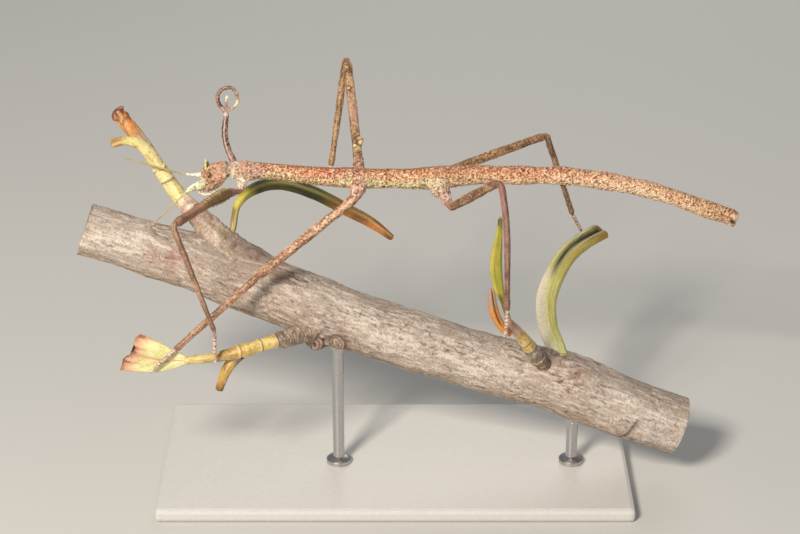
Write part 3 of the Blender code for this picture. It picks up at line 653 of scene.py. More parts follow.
def paint_trunk(q):
    """Granular salmon back over a cream belly, with faint seams between the segments."""
    p, x, lay = q.p, q.p[:, 0], q.lay
    lift = np.sin(q.angle)
    thorax = 1 - ramp(x, THORAX_ENDS[2] - 0.6, THORAX_ENDS[2] + 0.6)
    front = ramp(-x, 36, 40)
    drift = rough(p * (0.35, 1, 1), 2.4, 3, 11)
    blotch = rough(p, 1.2, 3, 41)
    upper = ramp(lift + 0.25 * drift + 0.12 * blotch, -0.12 + 0.1 * thorax, 0.5)
    q.tint = mix(by_place(x, BELLY_HUES), by_place(x, BACK_HUES), upper)
    hips = bell(x, -12.6, 1.8) + 0.9 * bell(x, -6.4, 1.8) + 0.8 * bell(x, 7.0, 2.4)
    lay("aeb884", 0.8 * hips * bell(lift, 0.1, 0.45) * ramp(blotch, -0.5, 0.3))
    lay("cf9f92", 0.7 * bell(x, -38.5, 2.6) * ramp(blotch, -0.5, 0.2))
    for leg in LEFT_LEGS[1:]:
        lay("cdb690", 0.7 * bell(from_hip(p, leg, 2.4), 0, 2.9) * ramp(blotch, -0.8, 0.0))
    q.dim((0.62, 0.5, 0.42), 0.3 * ramp(blotch, 0.3, 0.7)
          + 0.5 * (1 - thorax) * ramp(lift, 0.55, 0.98))
    worm = q.wormed("61331b", "ffe8c4", 21, 0.32, 0.95 - 0.1 * front)
    lay("5f4a2e", (0.42 * thorax * (1 - upper) + 0.2 * front) * ramp(-worm, 0.0, 0.5))
    grains = granules(p, 0.85, 31)
    lay("f7dfc2", 0.5 * ramp(grains, 0.5, 0.9))
    # the dark line along the keel on top of the thorax is partly its own colour and partly painted
    # shade at the top edge
    ridge = bell(q.angle, np.pi / 2, 0.13)
    lay("54301d", 0.8 * ridge * thorax * (1 - front) * ramp(worm, -0.6, 0.2))

    relief = 0.12 * worm + 0.17 * grains + 0.07 * blotch + 0.08 * ridge * thorax
    relief += front * 0.22 * rough(p, 1.5, 2, 51)
    waver = 0.25 * noise(p, 1.6, 61)
    for end in THORAX_ENDS + ABDOMEN_ENDS:
        groove = bell(x, end + waver, 0.2) * (0.55 + 0.45 * thorax)
        rim = bell(x, end + waver - 0.55, 0.45)
        relief += 0.10 * rim * ramp(lift, 0.2, 1.0) - 0.13 * groove
        lay("5a3823", 0.45 * groove)
        lay("d9a08c", 0.35 * rim * thorax)
    above = ramp(lift, -0.1, 0.7)
    collar = bell(x, -43.7 + 0.3 * blotch, 0.55) * ramp(noise(p, 1.1, 67), -0.6, 0.0)
    neck = bell(x, -44.75, 0.3) * (0.35 + 0.65 * ramp(noise(p, 1.5, 63), -0.4, 0.3))
    lay("f1e6ca", (0.9 - 0.7 * above) * collar)
    lay("8fa09c", 0.75 * neck * above)
    lay("5b4a3a", 0.5 * bell(x, -44.4, 0.16) * (1 - above))
    streak = bell(x, -43.0 + 0.2 * (q.rise - 1), 0.5) * ramp(lift, 0.1, 0.5)
    lay("ecd2c2", 0.85 * streak * ramp(worm, -0.5, 0.0))
    relief += 0.22 * collar - 0.2 * neck

    tail = ramp(x, 88.6, TAIL_END - 0.5)
    opening = ramp(x, TAIL_END - 0.55, TAIL_END - 0.2)
    hollow = opening * (1 - ramp(np.hypot(q.out * 0.9, q.rise + 0.5), 0.9, 1.6))
    relief += tail * (0.22 * rough(p, 0.9, 2, 65) + 0.1)
    lay("6d4630", 0.6 * tail * ramp(rough(p, 0.7, 2, 69), 0.2, 0.6))
    lay("f5e6c6", 0.95 * bell(x, 90.8, 0.5) * bell(q.out, -1.3, 0.7071)
        * bell(q.rise, -1.85, 0.6325))
    pit = bell(x, 91.7, 0.75) * bell(q.out, -2.0, 0.8944) * bell(q.rise, -0.4, 0.6325)
    lay("2c1a10", np.clip(1.6 * pit, 0, 0.95))
    # painted shade: the opening at the tail's end is filled near-black
    lay("2c1a10", hollow)
    q.relief = (relief - 0.35 * pit) * (1 - opening) - 0.7 * hollow
    q.speckle = 0.5 + 0.3 * (1 - thorax)


def paint_head(q):
    """Pinkish-brown head with coarse lumps, antenna sockets, and cheek creases and a mouth line
    darkened as painted shade.
    """
    p, lay = q.p, q.lay
    x, y, z = p.T
    side_on = ramp(np.abs(y), 0.7, 1.6)
    blotch = rough(p, 1.3, 3, 81)
    q.start("b88c64", "c89572", 0.5 + 0.6 * blotch)
    lay("e2ab90", 0.8 * bell(x, -47.4, 1.7) * bell(z, 1.6, 1.9))
    lay("94693f", 0.6 * bell(x, -50.6, 1.3) * ramp(z, 1.2, 2.6))
    lay("a3805c", 0.5 * bell(x, -47.6, 1.5) * bell(z, -1.6, 1.2))
    lay("d9ac92", 0.6 * ramp(-z, 1.6, 3.2) * ramp(-x, 49.0, 50.5))
    strength = 1 - 0.4 * bell(x, -47.0, 1.6)
    coarse = q.wormed("6b4128", "f7d2b2", 71, 0.6, 0.65 * strength)
    worm = q.wormed("553219", "ffe6c8", 75, 0.34, 0.62 * strength)
    crown = bell(y, 0, 0.18) * ramp(z, 0.5, 2.0)
    lay("6a4630", 0.5 * crown)
    relief = 0.20 * coarse + 0.10 * worm + 0.10 * blotch - 0.10 * crown
    relief += 0.35 * side_on * bell(x, -47.3, 1.4) * bell(z, 1.4, 1.6)
    relief += 0.30 * side_on * bell(x, -50.4, 1.1) * bell(z, -2.3, 1.0)
    for side, (points, _) in SCAPES.items():
        sign = SIDES[side]
        eye = np.linalg.norm(p - np.multiply(EYE_PLACE, (1, sign, 1)), axis=1)
        relief += 0.10 * bell(eye, EYE_RADIUS + 0.35, 0.25) - 0.25 * (1 - ramp(eye, 0.45, 0.75))
        lay("8a604a", 0.25 * bell(eye, EYE_RADIUS, 0.14))
        _, out, up = points[0]
        socket = np.linalg.norm(p - (-52.1, out + 0.1 * sign, up - 0.2), axis=1)
        relief += 0.2 * bell(socket, 1.15, 0.3)
        lay("e2d8b4", 0.8 * bell(socket, 1.05, 0.4))
    wander = 0.25 * noise(p, 1.2, 95)
    cheek = bell(z, -1.2 + 0.4 * (x + 50) + wander, 0.14) * side_on * ramp(-x, 46.6, 47.6)
    brow = bell(z, 2.5 + 0.1 * (x + 50) + wander, 0.15) * side_on * ramp(-x, 46.0, 47.0)
    mouth = bell(z, -3.1 + 0.15 * (x + 51) + wander * 0.5, 0.16) * ramp(-x, 48.0, 49.0)
    front = bell(x, -51.2 - 0.1 * z + wander, 0.16) * side_on * ramp(-z, -2.2, -1.0)
    # painted shade: each crease is darkened in step with its depth
    for crease, depth in ((cheek, 0.22), (brow, 0.12), (mouth, 0.3), (front, 0.14)):
        relief -= depth * crease
        lay("4a2c1c", 2.4 * depth * crease)
    rear = bell(x, -45.8 + 0.4 * wander, 0.4) * ramp(z, -0.5, 1.5)
    lay("ecd9bc", 0.15 * rear)
    lay("84938c", 0.8 * ramp(x, -45.4, -45.1))
    q.relief, q.speckle = relief + 0.05 * rear, 0.35


# Pale and warm colour of the hip joints that show.
COXA_HUES = {"fore_left_coxa": ("efe0c4", "c89c8c"), "mid_left_coxa": ("d8ab8c", "ad7a5c"),
             "hind_left_coxa": ("dcb6a8", "b98a80")}


def paint_coxa(q):
    """Pale granular hip joint, pinker towards its end."""
    blotch = rough(q.p, 0.9, 3, 111)
    q.start(*COXA_HUES.get(q.name, ("b98e6a", "8a5f42")), 0.35 + 0.6 * blotch)
    q.lay("b47c70", 0.6 * ramp(q.share, 0.6, 0.95))
    if q.name == "hind_left_coxa":
        belly = mix(hue("b9b183"), hue("d9bd94"), ramp(blotch, -0.4, 0.3))
        root = 1 - ramp(q.share + 0.15 * blotch, 0.3, 0.75)
        q.tint = mix(q.tint, belly, 0.85 * root)
    worm = q.wormed("6d4438", "fff0dc", 101, 0.4, 0.75)
    q.relief, q.speckle = 0.12 * worm + 0.16 * blotch, 0.35


# Base, dark and pale colour of each femur and tibia.
LEG_HUES = {
    "fore_left_femur": "94694c 543522 c39674", "fore_left_tibia": "a07a60 5c402e cfa88c",
    "mid_left_femur": "c28d6a 663d24 f5d0ae", "mid_left_tibia": "a97c5f 5f3f2a dcb594",
    "hind_left_femur": "8a6648 43291a c9a27c", "hind_left_tibia": "8f6657 543425 b98d80",
    "mid_right_femur": "a07a55 4d341e ddb98b", "mid_right_tibia": "9c7450 553722 d8b284",
    "hind_right_femur": "8c6643 452d19 cda276", "hind_right_tibia": "8e6a4c 47301d dcae88"}
SMOOTHNESS = {"hind_left_tibia": 0.5, "fore_left_femur": 0.4, "fore_left_tibia": 0.35}

# Knots that stand out on single legs: part, share of its length, degrees round it, reach in
# millimetres, height and colour.
LEG_KNOTS = [("mid_right_femur", 0.19, 150, 1.0, 0.9, "eab986"),
             ("mid_right_femur", 0.155, 140, 0.7, 0.5, "f0cfa0"),
             ("mid_right_femur", 0.13, 60, 0.45, 0.2, "f6e8c8"),
             ("mid_right_femur", 0.72, 60, 0.5, 0.3, "e2bd88"),
             ("mid_right_tibia", 0.17, 66, 0.6, 0.35, "fbe6c0"),
             ("mid_right_tibia", 0.27, 62, 0.5, 0.3, "e2b48a"),
             ("hind_left_femur", 0.35, 90, 0.6, 0.3, "d8ac84"),
             ("hind_right_femur", 0.45, 90, 0.6, 0.3, "d8ac84"),
             ("mid_left_femur", 0.30, 100, 0.5, 0.25, "e9c09a"),
             ("mid_left_femur", 0.62, 80, 0.5, 0.25, "e2b792")]


def rolled(q, pace):
    """Places on a leg part with its length drawn in, for marks longer than they are wide."""
    return np.stack([q.along * pace, np.cos(q.angle) * 1.1, np.sin(q.angle) * 1.1], axis=1)


def paint_leg(q):
    """Mottled femur or tibia, rough along its four edges with pale lines of painted highlight on
    them, with small knots and dark flecks.
    """
    s, lay = q.along, q.lay
    base, dark, pale = LEG_HUES[q.name].split()
    coarse = 1 - SMOOTHNESS.get(q.name, 0)
    seed = 120 + sum(map(ord, q.name)) % 50
    mottle = rough(rolled(q, 0.45), 1.25, 4, seed)
    bands = noise(np.outer(s, (1, 0, 0)), 2.6, seed + 7)
    ridges = ramp(np.cos(4 * (q.angle - np.pi / 4)), 0.3, 0.95)
    q.start(base, pale, 0.5 * ramp(mottle, 0.0, 0.6) + 0.25 * ramp(bands, 0.0, 0.6))
    lay(dark, 0.55 * ramp(-mottle, 0.1, 0.6) + 0.25 * ramp(-bands, 0.1, 0.6))
    # pale lines along the four raised edges: partly their own colour and partly painted highlight
    lay(pale, 0.5 * ridges * ramp(bands, -0.6, 0.4))
    worm = q.wormed(dark, pale, seed + 9, 0.28, coarse - 0.2, rolled(q, 0.7))
    lay("7d4d3a", 0.5 * (bell(q.share, 0.0, 0.03) + bell(q.share, 1.0, 0.035)))
    knots = noise(np.stack([s, 0 * s, q.angle * 0.5], axis=1), 1.7, seed + 3)
    knots = coarse * ridges * ramp(knots, 0.35, 0.75)
    lay(pale, 0.35 * knots)
    q.relief = coarse * (0.09 * worm + 0.10 * mottle) + 0.06 * ridges + 0.17 * knots
    if q.name == "fore_left_femur":
        saw_femur(q)
    if q.name == "mid_right_femur":
        lay("c99a84", 0.55 * bell(q.share, 0.5, 0.16) * ramp(mottle, -0.6, 0.2))
    for name, share, degrees, reach, height, code in LEG_KNOTS:
        if name == q.name:
            away = np.hypot(s - share * q.length, q.turned(degrees) * 1.1) / reach
            lay(dark, 0.7 * bell(away, 1.25, 0.4))
            lay(code, 0.95 * (1 - ramp(away, 0.6, 1.1)))
            q.relief += height * np.exp(-1.4 * away ** 2)
    q.speckle = 0.6


def saw_femur(q):
    """Curving ribs on the wide part of the fore femur that end in teeth along both edges."""
    s, high, lay = q.along, np.sin(q.angle), q.lay
    ribs = ramp(s, 6.8, 9.2) * (1 - ramp(s, 17.5, 21.5))
    teeth = ramp(s, 5.2, 7.0) * (1 - ramp(s, 14.5, 17.0))
    wander = 0.3 * noise(q.p, 1.3, 161)
    rib = wave(s / 1.15 - 0.5 * high ** 2 + wander)
    gap = ramp(-rib, -0.22, -0.02)
    tooth = wave(s / 1.45 + wander)
    upper, lower = ramp(high, 0.5, 0.95), ramp(-high, 0.8, 0.97)
    bold = 0.55 + 0.45 * noise(q.p, 1.6, 163)
    q.relief *= 1 - 0.3 * ribs
    q.relief += ribs * bold * (0.28 * upper * rib - 0.1 * gap) * (1 - lower)
    q.relief += 0.6 * teeth * lower * ramp(tooth, 0.3, 0.9)
    ribbed = mix(hue("86683c"), hue("ab8c5a"), ramp(rough(q.p, 0.7, 3, 171), -0.3, 0.5))
    ribbed = mix(ribbed, hue("332010"), 0.85 * bold * gap)
    ribbed = mix(ribbed, hue("e6d3a2"), 0.7 * ramp(high, 0.7, 0.97) * ramp(rib, 0.6, 0.9))
    q.tint = mix(q.tint, ribbed, 0.85 * ribs)
    lay("3a2510", 0.6 * teeth * bell(high, -0.6, 0.25))
    lay("f3e6b4", 0.95 * teeth * lower * ramp(tooth, 0.4, 0.8))
    lay("bd8f74", 0.6 * bell(s, 4.4, 1.6) * ramp(high, -0.4, 0.4))
    lay("c08f78", 0.7 * (1 - ramp(s, 2.0, 3.4)))
    lay("a8795c", 0.3 * ramp(s, 17.5, 23.0))


def paint_foot(q):
    """Whitish stippled foot with a dark ring at the end of each segment."""
    q.tint = hue("c7a692")
    q.relief = 0.04 * q.wormed("6d4a3b", "f3e0ce", 131, 0.3)
    for end in np.cumsum(FOOT_SHARES):
        q.lay("5f4331", 0.45 * bell(q.share, end, 0.014))
        q.lay("eedccb", 0.35 * bell(q.share, end - 0.05, 0.03))


def paint_curl(q):
    """Mauve regrown leg with a raised keel whose pale line is a painted highlight, a band of dark
    pits and a cream inner end.
    """
    p, share, lay = q.p, q.share, q.lay
    mottle = rough(p, 0.7, 3, 141)
    across = np.cos(q.angle)
    stalk = 1 - ramp(share, 0.39, 0.43)
    q.start("a37f76", "6f4c40", 0.45 + 0.55 * mottle)
    lay("b88a86", (1 - ramp(share, 0.10, 0.24)) * ramp(-mottle, -0.5, 0.2))
    pits = ramp(noise(p, 0.42, 145), -0.42, -0.05) * bell(across, 0.5, 0.5) \
        * ramp(share, 0.13, 0.2) * (1 - ramp(share, 0.36, 0.385))
    lay("2e1c12", 0.95 * pits)
    lay("3a2418", 0.95 * stalk * ramp(-across, 0.5, 0.75) * ramp(share, 0.02, 0.08))
    # painted highlight: the pale line laid along the stalk's keel
    keel = bell(across, -0.2, 0.17) * ramp(share, 0.02, 0.1) * stalk
    lay("ecccb6", 0.95 * keel * (1 - ramp(np.sin(q.angle), 0.0, 0.3)))
    lay("f0d6c4", 0.75 * bell(share, 0.425, 0.035) * ramp(-mottle, -0.6, 0.2))
    lay("b9784f", 0.75 * bell(share, 0.55, 0.07) * ramp(-mottle, -0.5, 0.3))
    lay("6a4a3c", 0.8 * bell(share, 0.67, 0.045))
    # painted shade: the coil's inner face, between its turns, is darkened
    inside = ramp(across, 0.1, 0.6) * ramp(share, 0.43, 0.47) * (1 - ramp(share, 0.76, 0.8))
    lay("2a1a10", 0.9 * inside * ramp(mottle, -0.8, -0.2))
    lay("cdb277", 0.7 * ramp(-across, 0.2, 0.7) * bell(share, 0.72, 0.03))
    lay("f3e6ae", 0.95 * bell(share, 0.81, 0.04))
    lay("d9a894", 0.7 * bell(share, 0.89, 0.03))
    lay("f2e8b4", 0.95 * ramp(share, 0.93, 0.96))
    worm = q.wormed("4f3122", "f0d9c6", 151, 0.3, 0.55 * (1 - keel))
    q.relief = 0.06 * worm + 0.05 * mottle + 0.12 * keel - 0.12 * pits


PAINTERS = {"trunk": paint_trunk, "head": paint_head, "coxa": paint_coxa, "femur": paint_leg,
            "tibia": paint_leg, "tarsus": paint_foot, "right": paint_curl}


class Patch(Surface):
    """The points of the skin that lie on one tube."""

    def __init__(self, tube, points, where, own):
        self.name, self.length = tube.name, tube.run[-1]
        self.p, self.along, self.angle = points[own], where.along[own], where.angle[own]
        self.out, self.rise = where.out[own], where.rise[own]
        self.share = self.along / self.length


def make_skin():
    """One skin over the whole insect, coloured by where each point lies. Returns its feet."""
    tubes = [trunk_tube(), head_tube(), curl_tube()]
    for name, parts in LEGS.items():
        tubes += leg_tubes(name, parts)
    points, quads, edges = merge(tubes)
    points = soften_hips(relax(points, edges, RELAX_ROUNDS), edges)
    row = nearest_rows(points, tubes)
    where = Places(points, tubes, row)
    tint, (relief, speckle) = np.zeros((len(points), 3)), np.zeros((2, len(points)))
    for k, tube in enumerate(tubes):
        own = where.part == k
        patch = Patch(tube, points, where, own)
        PAINTERS[tube.name.split("_")[-1]](patch)
        tint[own], relief[own], speckle[own] = patch.tint, patch.relief, patch.speckle
    relief = spread_out(relief, edges, 0.25)
    tint = spread_out(tint, edges, 0.35)
    shaped = points + normals(points, quads) * relief[:, None]
    finish = tinted("insect_skin", 0.62, 0.16, 0.03, (0.3, 0.56, "5b3b26", 0.75),
                    Coat_Weight=0.12, Coat_Roughness=0.45)
    flesh = ["head", "prothorax", "mesothorax", "metathorax"]
    flesh += [f"abdomen_{k}" for k in range(1, 11)]
    flesh += [f"{leg}_{part}" for leg in LEGS for part in ("coxa", "femur", "tibia", "tarsus")]
    flesh += ["fore_right_" + part for part in ("coxa", "femur", "tibia_lower", "tibia_upper",
                                                "tarsus")]
    piece("insect_skin", shaped, quads.tolist(), finish, flesh, tint, speckle, 80,
          unrolled(points, quads, tubes, row))
    return [tube for tube in tubes if tube.name.endswith("_tarsus")]


def unrolled(points, quads, tubes, row):
    """UV map in which each tube is unrolled into its own strip."""
    strips = []
    legs = [*LEGS, "fore_right"]
    width = 0.98 / (len(legs) + 2.5)
    tallest = max(t.run[-1] for t in tubes) + 2
    for k, tube in enumerate(tubes):
        if tube.name == "trunk":
            strips.append((0.01, 0.01, width * 1.7))
        elif tube.name == "head":
            strips.append((0.01 + width * 1.85, 0.88, width * 2.5))
        else:
            leg = "_".join(tube.name.split("_")[:2])
            earlier = sum(t.run[-1] + 3 for t in tubes[:k] if t.name.startswith(leg))
            strips.append((0.01 + width * (1.85 + legs.index(leg)),
                           0.01 + earlier / tallest * 0.97, width * 0.72))
    spot = Places(points[quads.ravel()], tubes, np.repeat(row[quads[:, 0]], 4))
    turn = spot.angle.reshape(-1, 4)
    turn = turn[:, :1] + (turn - turn[:, :1] + np.pi) % (2 * np.pi) - np.pi
    left, bottom, wide = np.array(strips)[spot.part].T
    return np.stack([left + wide * (turn.ravel() + np.pi) / (2 * np.pi) * 0.9,
                     bottom + np.maximum(spot.along, -1) / tallest * 0.97], axis=1)


# ---------------------------------------------------------------- rods and leaves as grids
def swept(name, points, sizes, step, first_up=(0, 0, 1)):
    """Tube through the points, with half sizes spread evenly over them."""
    places = np.linspace(0, 1, len(points))
    sizes = np.array([s if np.ndim(s) else (s, s) for s in sizes], float)
    wide, high = (along(sizes[:, k], places) for k in (0, 1))
    line = curve(np.column_stack([points, wide, high]), step)
    return Tube(name, line[:, :3], line[:, 3], line[:, 4], first_up)


class Grid(Surface):
    """A tube as one regular grid that runs on over both ends, with where each point lies.

    cut is 1 on the side wall and falls to 0 at the middle of an end; bulge is how far
    the two ends stand out, in half sizes.
    """

    def __init__(self, tube, sides, bulge=(0, 0), inner=(0.97, 0.8, 0.55, 0.3, 0.08)):
        rings = tube.rings(sides)
        inner = np.array(inner)
        caps = []
        for end, way, dome in ((0, -1, bulge[0]), (-1, 1, bulge[1])):
            middle = tube.path[end]
            reach = way * dome * np.sqrt(1 - inner ** 2) * min(tube.wide[end], tube.high[end])
            caps.append(middle + (rings[end] - middle) * inner[:, None, None]
                        + tube.tangent[end] * reach[:, None, None])
        whole = np.concatenate([caps[0][::-1], rings, caps[1]])
        count, extra = len(rings), len(inner)
        row = np.clip(np.arange(len(whole)) - extra, 0, count - 1)
        turn = 2 * np.pi * np.arange(sides) / sides
        self.name, self.rows, self.sides = tube.name, len(whole), sides
        self.p = whole.reshape(-1, 3)
        self.cut = np.repeat(np.concatenate([inner[::-1], np.ones(count), inner]), sides)
        self.along = np.repeat(tube.run[row], sides)
        self.length = tube.run[-1]
        self.share = self.along / self.length
        self.angle = np.tile(np.arctan2(np.sin(turn), np.cos(turn)), self.rows)
        self.radius = np.repeat(tube.wide[row], sides)
        r, k = np.divmod(np.arange((self.rows - 1) * sides), sides)
        onward = (k + 1) % sides
        self.quads = np.stack([r * sides + k, r * sides + onward, (r + 1) * sides + onward,
                               (r + 1) * sides + k], axis=1)
        self.strip = np.stack([np.stack([k, k + 1, k + 1, k], axis=1) / sides,
                               0.04 + 0.96 * np.stack([r, r, r + 1, r + 1], axis=1) / self.rows],
                              axis=2)


def dress(grid, painter, finish, replaces=(), smooth_below=60):
    """Colour and raise one grid and place it as a piece with its own UV map."""
    painter(grid)
    points = grid.p + (normals(grid.p, grid.quads).T * grid.relief).T
    last = (grid.rows - 1) * grid.sides
    ends = [list(range(grid.sides))[::-1], list(range(last, last + grid.sides))]
    turn = 2 * np.pi * np.arange(grid.sides) / grid.sides
    disc = 0.015 * np.stack([np.cos(turn), np.sin(turn)], axis=1) + 0.018
    uv = np.concatenate([grid.strip.reshape(-1, 2), disc[::-1], disc + (0.05, 0)])
    piece(grid.name + "_look", points, grid.quads.tolist() + ends, finish, replaces,
          grid.tint, grid.speckle, smooth_below, uv)


def grow(name, points, sizes, step, sides, bulge, painter, finish, replaces=(),
         first_up=(0, 0, 1)):
    """Sweep a tube through the points and place it as a piece."""
    tube = swept(name, points, sizes, step, first_up)
    dress(Grid(tube, sides, bulge), painter, finish, replaces)


def stretched(q, length, width):
    """Places on a tube drawn out along its line, for streaks length long and width wide."""
    return np.stack([q.along / length, q.radius * np.cos(q.angle) / width,
                     q.radius * np.sin(q.angle) / width], axis=1)


# ---------------------------------------------------------------- small parts of the insect
SIDES = {"left": -1, "right": 1}
HORNS = {"left": ((-50.9, -0.7, 2.6), (-50.9, -0.95, 5.7)),
         "right": ((-50.4, 0.8, 2.6), (-50.5, 1.0, 4.1))}
# Colours of each horn from dark to light; the right horn's dark browns are painted shade, the left
# horn's pale yellows are its own colour.
HORN_HUES = {"left": ("c9b45a", "e9dc8c", "f6efb4"), "right": ("2e1c10", "4a2f1c", "8a6240")}
# Points and half sizes of the thick first joint of each antenna, and points of its whip.
SCAPES = {"left": ([(-51.2, -1.3, -0.9), (-52.6, -1.9, -1.5), (-54.2, -2.3, -2.1),
                    (-55.6, -2.7, -2.7), (-56.3, -2.9, -3.2)],
                   [(0.45, 0.9), (0.42, 1.15), (0.4, 0.95), (0.35, 0.6), (0.3, 0.36)]),
          "right": ([(-51.2, 1.15, 0.55), (-52.6, 1.3, 0.15), (-54.2, 1.5, 0.02),
                     (-55.4, 1.5, 0.05)],
                    [(0.4, 0.6), (0.4, 0.62), (0.35, 0.45), (0.3, 0.34)])}
SCAPE_HUES = {"left": ("a09c72", "d2cfa4", "ecead0"), "right": ("cfc8a4", "efe9cc", "fbf8e8")}
WHIPS = {"left": [(-57.0, -3.1, -3.9), (-61.6, -4.5, -8.0), (-66.2, -6.0, -12.1)],
         "right": [(-58.0, 1.6, 0.4), (-65.6, 1.6, 2.7), (-73.3, 1.6, 5.0)]}
PALP = [(-50.6, -0.9, -3.0), (-52.2, -1.3, -3.0), (-52.8, -1.5, -3.6), (-51.9, -1.7, -4.25),
        (-50.2, -1.9, -4.2), (-48.7, -1.8, -3.5)]


def plain(*codes, size=0.6, lumps=0.02):
    """Painter for a small part: a mottle of three colours, dark to light."""
    def paint(q):
        mottle = rough(q.p, size, 3, 1)
        q.start(codes[1], codes[0], ramp(-mottle, 0.0, 0.7))
        q.lay(codes[2], ramp(mottle, 0.0, 0.7))
        q.relief, q.speckle = lumps * mottle, 0.3
    return paint


def ringed(q):
    """Thin antenna joints, each a little swollen and darker at its end."""
    phase = q.along / 0.85 % 1
    q.start("cdb978", "a08a4c", 0.5 + 0.5 * noise(q.p, 1.5, 3))
    q.lay("6b5228", 0.7 * bell(phase, 0.96, 0.09))
    q.relief, q.speckle = 0.03 * bell(phase, 0.8, 0.25), 0.3


def paint_eye(q):
    """Mottled tan eye with a dark slanting slot, drawn from its own middle."""
    x, _, z = ((q.p - q.p.mean(axis=0)) / EYE_RADIUS).T
    across, down = x * 0.87 - z * 0.5, x * 0.5 + z * 0.87
    q.start("a9795f", "cda088", 0.5 + 0.8 * rough(q.p, 0.22, 2, 5))
    q.lay("9a6e54", ramp(np.hypot(x, z), 0.75, 1.0))
    slot = bell(across, -0.12 + 0.1 * down, 0.46) * (1 - ramp(np.abs(down), 0.8, 1.1))
    q.lay("20120b", slot)
    q.relief, q.speckle = 0.02 * granules(q.p, 0.14, 7) - 0.04 * slot, 0.0


def make_head_parts():
    """Eyes, horns, antennae and mouth feelers, each a piece of its own."""
    horny = tinted("horn", 0.42, 0.2, 0.01, Coat_Weight=0.25, Coat_Roughness=0.3)
    lens = tinted("eye", 0.75, 0.1, 0.004, Specular_IOR_Level=0.25)
    turn = np.linspace(-0.98, 0.98, 40)
    for side, sign in SIDES.items():
        x, y, z = EYE_PLACE
        line = np.stack([np.full(40, x), sign * (y - EYE_RADIUS * turn), np.full(40, z)], axis=1)
        size = EYE_RADIUS * np.sqrt(1 - turn ** 2)
        ball = Grid(Tube("eye_" + side, line, size, size), 64, inner=(0.7, 0.2))
        dress(ball, paint_eye, lens, ["eye_" + side])
        base, tip = (np.array(point) for point in HORNS[side])
        grow("horn_" + side, [base, base * 0.5 + tip * 0.5 - (0, 0, 0.1), tip],
             [0.42, 0.3, 0.2], 0.08, 20, (0, 0.5), plain(*HORN_HUES[side]), horny,
             ["horn_" + side])
        grow("palp_" + side, np.array(PALP) * (1, -sign, 1), [0.25, 0.32, 0.36, 0.34, 0.3, 0.18],
             0.08, 20, (0, 1), plain("c9a884", "efdcc0", "fbf0dc"), horny)
    for side, (points, sizes) in SCAPES.items():
        antenna, pale = "antenna_" + side, plain(*SCAPE_HUES[side], size=0.5, lumps=0.03)
        grow(antenna + "_scape", points, sizes, 0.1, 28, (0.6, 0.6), pale, horny,
             [antenna], (0, 0.4, 1))
        root = np.array(points[-1]) * 0.9 + np.array(points[-2]) * 0.1
        onward = unit(WHIPS[side][0] - root)
        grow(antenna + "_pedicel", [root, root + onward * 0.5, root + onward * 1.15],
             [0.26, 0.36, 0.27], 0.07, 20, (0.5, 0.5), pale, horny)
        grow(antenna + "_flagellum", [root + onward * 1.05, *WHIPS[side]],
             [0.24, 0.22, 0.19, 0.12], 0.08, 14, (0.5, 0.8), ringed, horny)


def make_claws(feet):
    """Two hooked claws at the end of every foot."""
    horny = tinted("claw", 0.4, 0.2, 0.01)
    for foot in feet:
        end, onward, side = foot.path[-1], foot.tangent[-1], foot.side[-1]
        down = unit(np.array([0, 0, -1.0]) + onward * onward[2])
        for name, sign in (("a", -1), ("b", 1)):
            line = [end + side * sign * 0.12, end + onward * 0.45 + side * sign * 0.42 - down * 0.1,
                    end + onward * 0.85 + side * sign * 0.55 + down * 0.12,
                    end + onward * 0.95 + side * sign * 0.5 + down * 0.5]
            claw = swept(f"{foot.name}_claw_{name}", line, [0.17, 0.14, 0.09, 0.03], 0.07)
            dress(Grid(claw, 12, (0.5, 0.5), (0.8, 0.3)), plain("a98c70", "dcc8b0", "f4e9da"),
                  horny)


# ---------------------------------------------------------------- the perch
BRANCH_Y = -4.0
# Rows: x, height and radius of the branch.
BRANCH = [(-84.0, -13.7, 7.2), (-62.0, -21.3, 7.4), (-50.0, -25.6, 7.9), (-42.0, -28.7, 8.5),
          (-33.0, -32.4, 8.4), (-25.0, -35.9, 8.6), (-8.0, -42.6, 8.2), (10.4, -49.3, 8.1),
          (29.0, -55.5, 8.1), (42.0, -59.3, 8.6), (50.0, -62.0, 9.2), (58.0, -65.6, 8.8),
          (68.0, -69.9, 8.4), (80.0, -74.2, 8.2)]
# Places on the branch: x, degrees round it (90 on top, 180 towards the camera) and size;
# a knot also has its height and a stain its colour.
KNOTS = [(-43.5, 84, 7.5, 2.6), (-21.6, 233, 2.5, 2.6), (-15.6, 214, 2.3, 1.5),
         (47.5, 118, 4.2, 0.9), (43.0, 98, 3.0, 0.7), (66.0, 205, 4.0, 0.7),
         (22.0, 340, 4.0, 0.9), (-62.0, 20, 3.5, 0.8)]
SCARS = [(-21.6, 224, 1.8), (-15.6, 207, 1.6), (27.0, 300, 1.3)]
STAINS = [(-35.5, 104, 4.5, "7a5346"), (-17.5, 200, 6.0, "5f3b37"), (48.5, 128, 4.0, "8f5b4a"),
          (-60.0, 165, 3.5, "a06a5c"), (66.5, 225, 4.0, "7a5c48"), (10.0, 20, 6.0, "7d6353")]
PALE_PATCHES = [(57.0, 150, 5.5), (24.0, 158, 6.5), (3.0, 170, 6.0), (-12.0, 140, 5.0),
                (-74.0, 150, 6.0), (72.0, 185, 7.0), (-30.0, 20, 7.0)]
